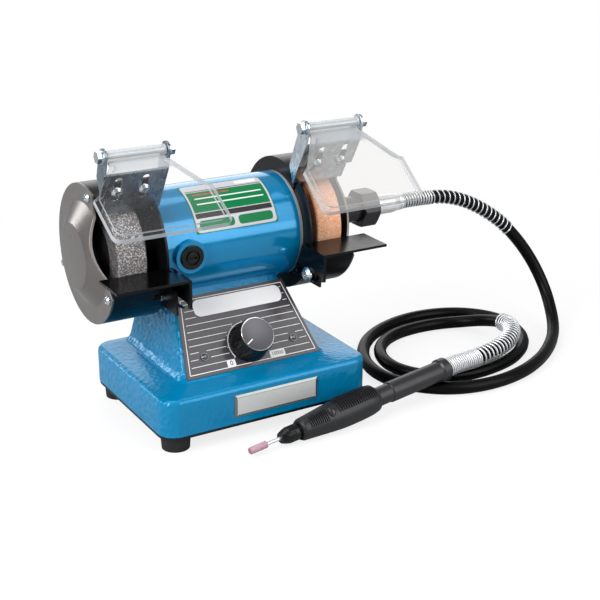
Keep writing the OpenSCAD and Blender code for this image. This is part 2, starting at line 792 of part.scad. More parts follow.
// inner plate, drum wall, a tab for the shield bracket and a lug for the rest
module wheel_guard(side) {
    screw_y = side < 0 ? rest_screw_left : rest_screw_right;
    handed(side) difference() {
        union() {
            guard_extrude(guard_in, guard_in + guard_t) {
                circle(guard_r);
                translate([spindle_h - rest_screw_z - 8, rest_screw_right - 8 - spindle_back])
                    square([16, 28]);
            }
            drum_wall();
            tab_root();
            bracket_frame() translate([slots_x - tab_w / 2, tab_v, tab_low])
                cube([tab_w, guard_t, tab_top - tab_low]);
            translate([lug_out, screw_y, rest_screw_z]) rotate([0, 90, 0])
                cylinder(h = guard_in - lug_out + eps, d = 12);
            for (a = cover_screws) at_clock(drum_out - 5, a, cover_screw_r) rotate([0, 90, 0])
                cylinder(h = 5, d = 8);
        }
        spindle_rod(guard_bore, guard_in - 1, guard_in + guard_t + 1);
        bolt_holes(guard_in - 1, guard_in + guard_t + 1, tie_bolt_d + 0.2);
        // the bracket's web passes the inner plate here
        bracket_frame() translate([guard_in - 1, -0.5, -slide_down - 2])
            cube([guard_t + 2, bracket_t + 1, 20]);
        for (a = cover_screws) at_clock(drum_out - 8, a, cover_screw_r) rotate([0, 90, 0])
            cylinder(h = 10, d = 3.1);
        bracket_screw_places() rotate([-90, 0, 0]) cylinder(h = 12, d = hinge_d + 0.1);
        translate([lug_out - 1, screw_y, rest_screw_z]) rotate([0, 90, 0])
            cylinder(h = 12, d = rest_screw_d + 0.1);
    }
}

module left_guard() color("#1c1c1f") wheel_guard(-1);
module right_guard() color("#1c1c1f") wheel_guard(1);

// outer cover: pressed disc with a conical boss, cut away at the front
module guard_cover(bore) {
    r0 = boss_face_d / 2;
    r1 = boss_root_d / 2;
    x0 = guard_out;
    t = guard_t;
    difference() {
        turned([[bore, x0 + boss_h - t], [r0, x0 + boss_h - t], [r1 - t * 0.4, x0 - t], [guard_r, x0 - t],
            [guard_r, x0], [r1, x0], [r0 + t * 0.4, x0 + boss_h], [bore, x0 + boss_h]]);
        at_spindle() translate([guard_in, cut_centre[0], cut_centre[1]]) rotate([0, 90, 0])
            cylinder(h = 2 * guard_w, r = cut_r, $fn = 128);
        for (a = cover_screws) at_clock(guard_out - 5, a, cover_screw_r) rotate([0, 90, 0])
            cylinder(h = 10, d = 3.4);
    }
}

module left_guard_cover() color("#6b6765") mirror([1, 0, 0]) guard_cover(0);
module right_guard_cover() color("#6b6765") guard_cover(neck_d / 2 + seat);

module cover_screws() color("#c4c7ca") both_sides() for (a = cover_screws)
    at_clock(guard_out, a, cover_screw_r) rotate([0, 90, 0]) {
        pan_head(6.6, 2.2);
        translate([0, 0, -7]) cylinder(h = 7 + eps, d = 3);
    }

// ---------- tool rests ----------

module tool_rest(side) {
    handed(side) difference() {
        union() {
            translate([rest_in, rest_front, rest_z - rest_t]) cube([rest_out - rest_in, rest_d, rest_t]);
            translate([rest_in, 0, 0]) rotate([90, 0, 90]) linear_extrude(rest_t)
                polygon([[rest_front, rest_z], [rest_back, rest_z], [rest_back + 3, rest_z - 8],
                    [rest_flange_back, rest_z - 12], [rest_flange_back, rest_z - rest_flange_h - 1],
                    [rest_front + 14, rest_z - rest_flange_h], [rest_front, rest_z - rest_flange_h + 4]]);
        }
        // slot for the screw
        translate([rest_in - 1, 0, rest_screw_z]) rotate([0, 90, 0]) linear_extrude(rest_t + 2) {
            for (y = [rest_slot_front, rest_slot_back]) translate([0, y]) circle(d = rest_screw_d + 0.6);
            translate([-(rest_screw_d + 0.6) / 2, rest_slot_front])
                square([rest_screw_d + 0.6, rest_slot_back - rest_slot_front]);
        }
        // hollow that clears the barrel, and the notch for the guard's inner plate
        translate([0, -rest_travel, 0]) {
            spindle_rod(barrel_d + 0.8, rest_in - 1, rest_in + rest_t + 1);
            spindle_rod(guard_d + 1, guard_in - 0.5, guard_in + guard_t + 0.5);
        }
    }
}

module left_rest() color("#1a1a1c") tool_rest(-1);
module right_rest() color("#1a1a1c") tool_rest(1);

module rest_screws() color("#c4c7ca") for (side = [-1, 1]) handed(side)
    translate([rest_in, side < 0 ? rest_screw_left : rest_screw_right, rest_screw_z])
        rotate([0, -90, 0]) {
        translate([0, 0, 0.15]) pan_head(10.5, 3);
        translate([0, 0, -(guard_in - rest_in) - 5]) cylinder(h = guard_in - rest_in + 5.5, d = rest_screw_d);
    }

// ---------- shield brackets ----------

// frame of a bracket: x out, y from the web's front to the back, z up the web
module bracket_frame() {
    at_spindle() translate([0, bracket_foot[0], bracket_foot[1]]) rotate([bracket_lean, 0, 0]) children();
}

module bracket_screw_places() {
    bracket_frame() for (s = [-0.5, 0.5]) translate([slots_x + s * slot_pitch, 0, screw_u]) children();
}

module ear_outline(reach_down) {
    hull() {
        translate([hinge_v, hinge_u]) circle(ear_tip, $fn = 32);
        polygon([[0, reach_down], [0, bracket_web - ear_drop], [bracket_ear, hinge_u - 4],
            [bracket_ear - 3, reach_down + 8]]);
    }
}

module shield_bracket(side) {
    handed(side) bracket_frame() translate([0, 0, side > 0 ? right_raise : 0]) difference() {
        union() {
            // slotted web
            translate([0, bracket_t, 0]) rotate([90, 0, 0]) linear_extrude(bracket_t)
                polygon([[bracket_in, 0], [web_low_out, 0], [web_low_out, web_notch],
                    [bracket_out, web_notch], [bracket_out, bracket_web], [bracket_in, bracket_web]]);
            // inner and outer ears
            translate([bracket_in, 0, 0]) rotate([90, 0, 90]) linear_extrude(bracket_t) ear_outline(0);
            translate([bracket_out - bracket_t, 0, 0]) rotate([90, 0, 90]) linear_extrude(bracket_t)
                ear_outline(web_notch + 4);
        }
        for (s = [-0.5, 0.5]) translate([slots_x + s * slot_pitch, bracket_t + 1, slot_mid])
            rotate([90, 0, 0]) linear_extrude(bracket_t + 2) {
                for (e = [-1, 1]) translate([0, e * (slot_l - slot_w) / 2]) circle(d = slot_w);
                square([slot_w, slot_l - slot_w], center = true);
            }
        translate([bracket_in - 1, hinge_v, hinge_u]) rotate([0, 90, 0])
            cylinder(h = bracket_out - bracket_in + 2, d = hinge_d + 2 * eps);
    }
}

module left_bracket() color("#c3c9cc") shield_bracket(-1);
module right_bracket() color("#c3c9cc") shield_bracket(1);

module bracket_screws() color("#c4c7ca") for (side = [-1, 1]) handed(side)
    bracket_screw_places() rotate([90, 0, 0]) {
        translate([0, 0, 0.1]) pan_head(7.6, 2.6);
        translate([0, 0, -bracket_t - guard_t - 4]) cylinder(h = bracket_t + guard_t + 4.2, d = hinge_d);
        translate([0, 0, -bracket_t - guard_t - 3.2]) hexagon(7, 3.2);
    }

module hinge_bolt(side) {
    handed(side) bracket_frame() translate([0, hinge_v, hinge_u + (side > 0 ? right_raise : 0)])
        rotate([0, 90, 0]) {
            translate([0, 0, bracket_in - 3.4]) cylinder(h = bracket_out - bracket_in + 6.8, d = hinge_d);
            // washer and hexagon outside each ear
            for (end = [bracket_in - 1, bracket_out]) translate([0, 0, end]) cylinder(h = 1, d = 9);
            for (end = [bracket_in - 4, bracket_out + 1 - eps]) translate([0, 0, end]) hexagon(7, 3 + eps);
        }
}

module left_hinge_bolt() color("#c9ccce") hinge_bolt(-1);
module right_hinge_bolt() color("#c9ccce") hinge_bolt(1);

// shield outline: x across, y down from the hinge
module shield_outline(inset = 0) {
    w = shield_w / 2 - inset;
    neck = tube_l / 2 - 1 - inset;
    low = -shield_l + inset;
    step = 3.5;
    neck_low = ear_tip + 1.5;
    difference() {
        polygon([[shield_side - neck, -neck_low], [shield_side - neck, -3], [shield_side + neck, -3],
            [shield_side + neck, -neck_low], [w - step, -shield_shoulder + 2],
            [w, -shield_shoulder], [w, low], [-w, low], [-w, -shield_shoulder],
            [-w + step, -shield_shoulder + 2]]);
        for (s = [-1, 1]) translate([s * w, low]) difference() {
            square(2 * corner_r, center = true);
            translate([-s * corner_r, corner_r]) circle(corner_r, $fn = 48);
        }
    }
}

module eye_shield(side) {
    hinge = hinge_at + (side > 0 ? right_raise : 0) * lean_up;
    handed(side) at_spindle() translate([tube_x, hinge[0], hinge[1]])
        rotate([side > 0 ? shield_slope_right : shield_slope_left, 0, 0]) difference() {
            union() {
                rotate([0, 90, 0]) cylinder(h = tube_l, d = tube_d, center = true);
                translate([-shield_side, 0, -tube_d / 2]) {
                    linear_extrude(shield_t) shield_outline();
                    // raised rim round the window
                    translate([0, 0, shield_t - eps]) linear_extrude(1.5) difference() {
                        below_tube() shield_outline(0);
                        below_tube() shield_outline(3.5);
                    }
                }
            }
            rotate([0, 90, 0]) cylinder(h = tube_l + 2, d = hinge_d + 2 * fit, center = true);
        }
}

module below_tube() {
    intersection() {
        translate([-shield_w, -shield_l - 10]) square([2 * shield_w, shield_l + 2]);
        children();
    }
}

module left_shield() color("#dfe7ea", 0.45) eye_shield(-1);
module right_shield() color("#dfe7ea", 0.45) eye_shield(1);

// ---------- flexible shaft ----------

module coupling_neck() color("#3a3b3e") turned([[7, neck_x - 4], [neck_d / 2 + 3, neck_x - 4],
    [neck_d / 2 + 3, neck_x - guard_t], [neck_d / 2, neck_x - guard_t],
    [neck_d / 2, neck_end], [7, neck_end]]);

module coupling_nut() color("#1d1d1f") difference() {
    at_spindle() translate([coupling_x, 0, 0]) rotate([0, 90, 0]) intersection() {
        rotate(30) hexagon(coupling_af, coupling_l);
        // chamfered corners at both ends
        rotate_extrude() polygon([[0, 0], [coupling_af / 2 + 0.4, 0], [coupling_af / 2 + 4, 2],
            [coupling_af / 2 + 4, coupling_l - 2], [coupling_af / 2 + 0.4, coupling_l], [0, coupling_l]]);
    }
    spindle_rod(neck_d + 2 * seat, coupling_x - 1, neck_end + 2);
    spindle_rod(14, coupling_x, coupling_x + coupling_l + 1);
}

module hose_ferrule() color("#c9cccf") turned([[hose_d / 2 + seat, neck_end],
    [neck_d / 2, neck_end], [neck_d / 2, neck_end + 2], [7 - seat, neck_end + 2],
    [7 - seat, nut_end], [8, nut_end], [7.2, nut_end + 3], [7.2, nut_end + 18],
    [6.2, nut_end + ferrule_l], [hose_d / 2 + seat, nut_end + ferrule_l]]);

function at(path, i) = path[max(0, min(len(path) - 1, i))];
function unit(v) = v / norm(v);
function along(path, i) = unit(at(path, i + 1) - at(path, i - 1));
// side vector of each ring, carried along the path without twist
function sides(path, i, last) = i >= len(path) ? [] :
    let (t = along(path, i), s = unit(last - (last * t) * t)) concat([s], sides(path, i + 1, s));

function ring(centre, t, s, r, n) = [for (j = [0:n - 1])
    centre + r * (cos(360 * j / n) * s + sin(360 * j / n) * cross(t, s))];

// closed tube round the path from one of its points to another, solid when bore is 0
module swept(path, first, last, r, bore = 0, n = hose_sides) {
    m = last - first + 1;
    s = sides(path, 0, [0, 0, 1]);
    outer = [for (i = [first:last]) each ring(path[i], along(path, i), s[i], r, n)];
    inner = bore > 0 ? [for (i = [first:last]) each ring(path[i], along(path, i), s[i], bore, n)] : [];
    base = m * n;
    end = (m - 1) * n;
    walls = [for (i = [0:m - 2], j = [0:n - 1]) let (k = (j + 1) % n)
        each [[i * n + j, (i + 1) * n + j, i * n + k], [i * n + k, (i + 1) * n + j, (i + 1) * n + k]]];
    lining = [for (f = walls) if (bore > 0) [base + f[0], base + f[2], base + f[1]]];
    rims = [for (j = [0:n - 1]) let (k = (j + 1) % n) if (bore > 0)
        each [[j, k, base + j], [k, base + k, base + j],
            [end + j, base + end + j, end + k], [end + k, base + end + j, base + end + k]]];
    caps = bore > 0 ? [] : [[for (j = [0:n - 1]) j], [for (j = [n - 1:-1:0]) end + j]];
    polyhedron(concat(outer, inner), concat(walls, lining, rims, caps));
}

hose_end = len(hose_path) - 1;

module flexible_hose() color("#1c1c1e") swept(hose_path, 0, hose_end, hose_d / 2);
module motor_end_coil() color("#c4c7ca") swept(hose_path, 1, 3, motor_coil_d / 2, hose_d / 2 + coil_gap);
module tool_end_coil() color("#c4c7ca")
    swept(hose_path, tool_coil_from, hose_end - 1, tool_coil_d / 2, hose_d / 2 + coil_gap);

// ---------- handpiece ----------

module at_handpiece() { translate(hp_end) rotate([0, 0, hp_turn]) rotate([0, hp_tilt, 0]) children(); }

module handpiece_sleeve() color("#242527") at_handpiece() rotate_extrude() polygon([
    [4.5, hose_seat], [hose_d / 2 + seat, hose_seat], [hose_d / 2 + seat, 0], [7, 0], [8.4, 1.2],
    [8.4, ring_l - 1.2], [sleeve_d / 2, ring_l], [sleeve_d / 2, sleeve_l - 1],
    [sleeve_d / 2 - 0.6, sleeve_l], [6.6, sleeve_l], [6.6, grip_start + 2], [6, grip_start + 2],
    [6, grip_start + 24], [4.5, grip_start + 24]]);

// the grip: a waisted body of revolution, finest at its nose
module handpiece_grip() color("#1d1e20") at_handpiece() rotate_extrude() polygon([
    [6 + seat, grip_start + 2], [6.6 + seat, grip_start + 2], [6.6 + seat, grip_start],
    [8.2, grip_start], [9.2, grip_start + 2],
    [grip_d / 2 - 0.5, grip_start + 8], [grip_d / 2, grip_start + 18], [grip_d / 2, grip_start + 29],
    [grip_d / 2 - 0.3, grip_start + 35], [grip_d / 2 - 1.1, grip_start + 44],
    [grip_d / 2 - 2.1, grip_start + 54], [grip_d / 2 - 3, grip_start + grip_l - 2],
    [6.6, grip_start + grip_l], [4.6, grip_start + grip_l],
    [4.6, grip_start + 25], [6 + seat, grip_start + 25]]);

module handpiece_bearings() color("#c2c5c8") at_handpiece()
    for (place = [[12, 4.5 - fit], [grip_start + grip_l - 8, 4.6 - fit]])
        translate([0, 0, place[0]]) difference() {
            cylinder(h = 4, r = place[1]);
            translate([0, 0, -1]) cylinder(h = 6, d = quill_d + 2 * fit);
        }

module collet_spindle() color("#b9bcc0") at_handpiece() difference() {
    union() {
        translate([0, 0, 8]) cylinder(h = nut_start - 8 + eps, d = quill_d);
        translate([0, 0, nut_start]) cylinder(h = 7, d = quill_d + 2);
    }
    translate([0, 0, nut_start - 2]) cylinder(h = 20, d = shank_d);
}

module collet_nut() color("#151517") at_handpiece() difference() {
    rotate_extrude() polygon([[quill_d / 2 + 1, nut_start], [5.2, nut_start], [5.6, nut_start + 1.5],
        [5.6, nut_start + 8], [4.8, nut_start + 11], [3.6, tip_start], [shank_d / 2, tip_start],
        [shank_d / 2, nut_start + 7], [quill_d / 2 + 1, nut_start + 7]]);
    for (a = [0:60:300]) rotate(a) translate([6.4, 0, nut_start + 4]) cylinder(h = 20, d = 2.6);
}

module grinding_point() color("#c98ba0") at_handpiece() {
    translate([0, 0, nut_start - 2]) cylinder(h = collet_l + point_reach + 2, d = shank_d);
    translate([0, 0, tip_start + point_reach - eps]) cylinder(h = stone_l, d = stone_d);
}

// ---------- which sub-part is drawn ----------

base_casting();
bottom_plate();
rubber_feet();
foot_screws();
motor_barrel();
left_end_bracket();
right_end_bracket();
end_bracket_bolts();
stator_core();
field_coils();
motor_bearings();
brush_holders();
carbon_brushes();
brush_springs();
brush_caps();
control_panel();
indicator_lamps();
speed_control();
control_board();
saddle_screws();
name_plate();
motor_label();
cable_grommet();
left_guard();
right_guard();
left_guard_cover();
right_guard_cover();
cover_screws();
rest_screws();
bracket_screws();
coupling_neck();
coupling_nut();
hose_ferrule();
motor_end_coil();
flexible_hose();
tool_end_coil();
handpiece_sleeve();
handpiece_grip();
handpiece_bearings();
motor_shaft();
armature_core();
armature_windings();
commutator();
cooling_fan();
wheel_flanges();
arbor_nuts();
grey_wheel();
orange_wheel();
speed_knob();
left_bracket();
left_hinge_bolt();
left_shield();
right_bracket();
right_hinge_bolt();
right_shield();
left_rest();
right_rest();
collet_spindle();
collet_nut();
grinding_point();
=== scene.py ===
import json
import math
import bpy
import bmesh
from mathutils import Matrix, Vector

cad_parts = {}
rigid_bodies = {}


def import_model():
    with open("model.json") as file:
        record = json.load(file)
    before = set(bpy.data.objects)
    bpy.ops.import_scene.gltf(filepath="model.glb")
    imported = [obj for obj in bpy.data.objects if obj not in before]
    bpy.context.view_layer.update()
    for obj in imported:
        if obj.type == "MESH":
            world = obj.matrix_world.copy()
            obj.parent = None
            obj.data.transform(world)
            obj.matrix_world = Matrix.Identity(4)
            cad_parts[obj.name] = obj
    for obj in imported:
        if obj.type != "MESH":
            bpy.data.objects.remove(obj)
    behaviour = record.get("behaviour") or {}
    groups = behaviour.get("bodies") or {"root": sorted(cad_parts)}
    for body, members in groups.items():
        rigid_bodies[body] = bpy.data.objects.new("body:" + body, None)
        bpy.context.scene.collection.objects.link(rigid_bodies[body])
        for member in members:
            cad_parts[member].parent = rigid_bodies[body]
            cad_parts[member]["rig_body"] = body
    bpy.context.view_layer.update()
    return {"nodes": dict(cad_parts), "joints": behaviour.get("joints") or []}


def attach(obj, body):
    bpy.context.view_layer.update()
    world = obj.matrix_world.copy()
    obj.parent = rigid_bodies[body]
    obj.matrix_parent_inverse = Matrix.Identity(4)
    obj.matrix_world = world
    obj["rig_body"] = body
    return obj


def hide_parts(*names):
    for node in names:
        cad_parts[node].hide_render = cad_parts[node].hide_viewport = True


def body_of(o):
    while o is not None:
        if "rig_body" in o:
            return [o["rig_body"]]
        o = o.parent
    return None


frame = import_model()
nodes = frame["nodes"]
print("frame loaded,", len(nodes), "nodes")

mm = 0.001
weld = 0.002  # points closer than this become one; millimetres, as every size below
spindle = Vector((0, 27, 115))
atSpindle = Matrix.Translation(spindle) @ Matrix.Rotation(math.radians(90), 4, "Y")  # local z becomes +X

# angles in degrees; the camera looks at a point at this height and is moved right and up in its own frame
viewPoint = {"azimuth": -31.15, "elevation": 20.72, "roll": 0.484, "lens": 74.99, "sensor": 36, "near": 10,
             "distance": 849.13, "right": 48.39, "up": -14.51, "height": 90}


def addObject(name, data):
    made = bpy.data.objects.new(name, data)
    bpy.context.scene.collection.objects.link(made)
    return made


def meshOf(name, bm):
    # empties the bmesh into a mesh
    data = bpy.data.meshes.new(name)
    bm.to_mesh(data)
    bm.free()
    return data


def addCamera(v):
    azimuth, elevation, roll = (math.radians(v[k]) for k in ("azimuth", "elevation", "roll"))
    back = Vector((math.sin(azimuth) * math.cos(elevation),
                   -math.cos(azimuth) * math.cos(elevation), math.sin(elevation)))
    level = Vector((math.cos(azimuth), math.sin(azimuth), 0))
    rise = back.cross(level)
    right = level * math.cos(roll) + rise * math.sin(roll)
    up = rise * math.cos(roll) - level * math.sin(roll)
    place = Vector((0, 0, v["height"])) + back * v["distance"] + right * v["right"] + up * v["up"]
    data = bpy.data.cameras.new("camera")
    data.lens = v["lens"]
    data.sensor_width = v["sensor"]
    data.clip_start = v["near"] * mm
    camera = addObject("camera", data)
    camera.matrix_world = Matrix.Translation(place * mm) @ Matrix((right, up, back)).transposed().to_4x4()
    bpy.context.scene.camera = camera


addCamera(viewPoint)


def shade(tint, factor=1):
    # a colour as seen on a screen, 0 to 255, in the linear values that a shader takes, times the factor
    linear = [((v / 255 + 0.055) / 1.055) ** 2.4 if v > 10 else v / 3295 for v in tint]
    return tuple(min(1, v * factor) for v in linear) + (1,)


class Wire:
    # one output socket, with the sums that shader maths needs
    def __init__(self, finish, out):
        self.finish = finish
        self.out = out

    def calc(self, operation, first, second=0.0):
        return self.finish.node("Math", {"operation": operation}, {0: first, 1: second})

    def __add__(self, other):
        return self.calc("ADD", self, other)

    def __sub__(self, other):
        return self.calc("SUBTRACT", self, other)

    def __rsub__(self, other):
        return self.calc("SUBTRACT", other, self)

    def __mul__(self, other):
        return self.calc("MULTIPLY", self, other)

    def __abs__(self):
        return self.calc("ABSOLUTE", self)

    def root(self):
        return self.calc("SQRT", self)

    __radd__ = __add__
    __rmul__ = __mul__


class Finish:
    # one material and its shader, whose unvarying sockets are set from uniform
    def __init__(self, name, uniform):
        self.name = name
        self.material = bpy.data.materials.new(name)
        self.material.use_nodes = True
        self.tree = self.material.node_tree
        self.shader = self.tree.nodes["Principled BSDF"]
        for socket, value in uniform.items():
            self.shader.inputs[socket].default_value = value

    def plug(self, socket, value):
        if isinstance(value, Wire):
            self.tree.links.new(value.out, socket)
        else:
            socket.default_value = value

    def node(self, kind, settings=None, sockets=None, out=0):
        # any node: its settings first, then the values or links of its sockets
        made = self.tree.nodes.new("ShaderNode" + kind)
        for key, value in (settings or {}).items():
            if key == "stops":
                ramp = made.color_ramp
                for place, _ in value[2:]:
                    ramp.elements.new(place)
                for element, (place, tint) in zip(ramp.elements, value):
                    element.position = place
                    element.color = tint
            else:
                setattr(made, key, value)
        for key, value in (sockets or {}).items():
            self.plug(made.inputs[key], value)
        return Wire(self, made.outputs[out])

    def at(self, stretch=(1, 1, 1), turn=(0, 0, 0), shift=(0, 0, 0)):
        point = self.node("TexCoord", out="Object")
        return self.node("Mapping", {"vector_type": "TEXTURE"}, {
            "Vector": point, "Scale": stretch, "Rotation": turn, "Location": shift})

    def noise(self, size, at=None, detail=3, distortion=0):
        # size is the size of the pattern in millimetres
        return self.node("TexNoise", {}, {"Vector": at or self.at(), "Scale": 1 / (size * mm),
                                          "Detail": detail, "Distortion": distortion})

    def cells(self, size, at=None, feature="F1", out="Distance"):
        return self.node("TexVoronoi", {"feature": feature}, {
            "Vector": at or self.at(), "Scale": 1 / (size * mm)}, out)

    def parts(self, vector):
        # the three numbers of a vector
        made = self.node("SeparateXYZ", {}, {0: vector}).out.node
        return [Wire(self, socket) for socket in made.outputs]

    def soft(self, value, low, high):
        # 0 below low, 1 above high, and smooth between
        return self.node("MapRange", {"interpolation_type": "SMOOTHSTEP"}, {0: value, 1: low, 2: high})

    def mix(self, factor, first, second):
        return self.node("Mix", {"data_type": "RGBA"}, {0: factor, 6: first, 7: second}, 2)

    def feed(self, socket, value):
        self.plug(self.shader.inputs[socket], value)
        return self

    def bump(self, height, depth):
        # depth in millimetres between the pattern's low and high
        return self.feed("Normal", self.node("Bump", {}, {"Height": height, "Distance": depth * mm}))


def coated(name, tint, rough=0.4, metal=0.0, spread=0.08, grain=1.2, depth=0.02, patch=30, coat=0.0,
           coatRough=0.03, specular=0.5, alpha=1.0):
    # paint, plastic or plain metal: a slow drift of colour, a finer one of gloss, and a fine grain, where
    # spread is how far the colour drifts, and patch and grain are the sizes of the two patterns
    finish = Finish(name, {"Metallic": metal, "Coat Weight": coat, "Coat Roughness": coatRough,
                           "Specular IOR Level": specular, "Alpha": alpha})
    drift = finish.noise(patch, detail=4)
    finish.feed("Base Color", finish.mix(drift, shade(tint, 1 - spread), shade(tint, 1 + spread)))
    sheen = 0.12
    finish.feed("Roughness", rough - sheen / 2 + finish.noise(patch / 5) * sheen)
    return finish.bump(finish.noise(grain), depth)


def hammeredPaint(name, tint, depth, size, gloss=0.16, calm=0.25, coat=0.12, metal=0.0):
    # thick glossy enamel over a rough casting: dimples on the walls that face sideways, calmer elsewhere
    finish = Finish(name, {"Coat Weight": coat, "Coat Roughness": 0.05, "Coat IOR": 1.55,
                           "Specular IOR Level": 0.3, "Metallic": metal})
    spot = finish.at(stretch=(1, 1, 1.5), turn=(0.3, 0.2, 0.5))
    dimples = finish.cells(size, spot, "SMOOTH_F1")
    swell = finish.noise(size * 2.4, spot, 2, 0.6)
    sideways = abs(finish.parts(finish.node("TexCoord", out="Normal"))[0])
    rough = finish.soft(sideways, 0.35, 0.8) * (1 - calm) + calm
    finish.feed("Base Color", finish.mix(finish.noise(28, detail=4), shade(tint, 0.9), shade(tint, 1.06)))
    finish.feed("Roughness", gloss + finish.noise(9) * 0.12)
    return finish.bump((dimples * 0.9 + swell * 0.5) * rough + finish.noise(1.1) * 0.03, depth)


def brushedMetal(name, tint, rough, along, depth):
    # fine scratches that run along one axis: 0 for x, 1 for y, 2 for z
    finish = Finish(name, {"Metallic": 1.0})
    stretch = tuple(14 if k == along else 1 for k in range(3))
    lines = finish.noise(0.5, finish.at(stretch), 4)
    finish.feed("Base Color", finish.mix(finish.noise(14), shade(tint, 0.86), shade(tint, 1.06)))
    finish.feed("Roughness", rough - 0.08 + lines * 0.2)
    return finish.bump(lines, depth)


def spangled(name, dark, light):
    # hot zinc on sheet steel: flat crystals of slightly different greys
    finish = Finish(name, {"Metallic": 1.0})
    crystals = finish.cells(3.2, finish.at(stretch=(1, 1, 1.7)), out="Color")
    pick = finish.node("SeparateColor", {}, {0: crystals})
    finish.feed("Base Color", finish.mix(pick * 0.75 + finish.noise(1.2) * 0.3, shade(dark), shade(light)))
    finish.feed("Roughness", 0.24 + pick * 0.14)
    return finish.bump(finish.noise(6), 0.03)


def abrasive(name, dark, middle, light, grit):
    # bonded grit: light and dark grains in a duller bond, with small pores
    finish = Finish(name, {"Specular IOR Level": 0.3})
    grains = finish.cells(grit, out="Color")
    pick = finish.node("SeparateColor", {}, {0: grains})
    stops = [(0.0, shade(dark)), (0.3, shade(middle)), (0.62, shade(middle)), (0.86, shade(light))]
    speck = finish.node("ValToRGB", {"stops": stops}, {"Fac": pick})
    grain = finish.mix(finish.noise(grit * 8, detail=2) * 0.35, speck, shade(middle))
    # painted shade: the sides are darkened in colour, as if the cover shaded them, whatever the light
    side = finish.soft(abs(finish.parts(finish.node("TexCoord", out="Normal"))[0]), 0.6, 0.9)
    finish.feed("Base Color", finish.mix(side * 0.7, grain, shade(dark, 0.7)))
    finish.feed("Roughness", 0.78 + finish.noise(grit) * 0.18)
    return finish.bump(finish.cells(grit) * 0.7 + finish.noise(grit * 2.5) * 0.6, grit * 0.5)


# how far from the hinge the frosted band is still whole, and where it's gone
frost = {"whole": 11.5, "gone": 15, "tint": shade((176, 180, 184)), "alpha": 0.5}
# the (y, z) that each eye shield tilts round
hinges = {joint["name"].split("_")[0]: [v / mm for v in joint["pos_m"][1:]]
          for joint in frame["joints"] if joint["name"].endswith("_shield_tilt")}


def clearSheet(name, haze, hinge, tint):
    # clear moulded plastic, frosted in a band along its hinge
    finish = Finish(name, {"Roughness": 0.05, "IOR": 1.49, "Specular IOR Level": 0.5, "Coat Weight": 0.2})
    smear = finish.noise(35, detail=5)
    _, deep, up = finish.parts(finish.at())
    away, above = deep - hinge[0] * mm, up - hinge[1] * mm
    reach = (away * away + above * above).root()
    band = 1 - finish.soft(reach, frost["whole"] * mm, frost["gone"] * mm)
    finish.feed("Base Color", finish.mix(band, shade(tint), frost["tint"]))
    finish.feed("Alpha", haze + smear * 0.02 + band * frost["alpha"])
    return finish.bump(finish.noise(18), 0.03)


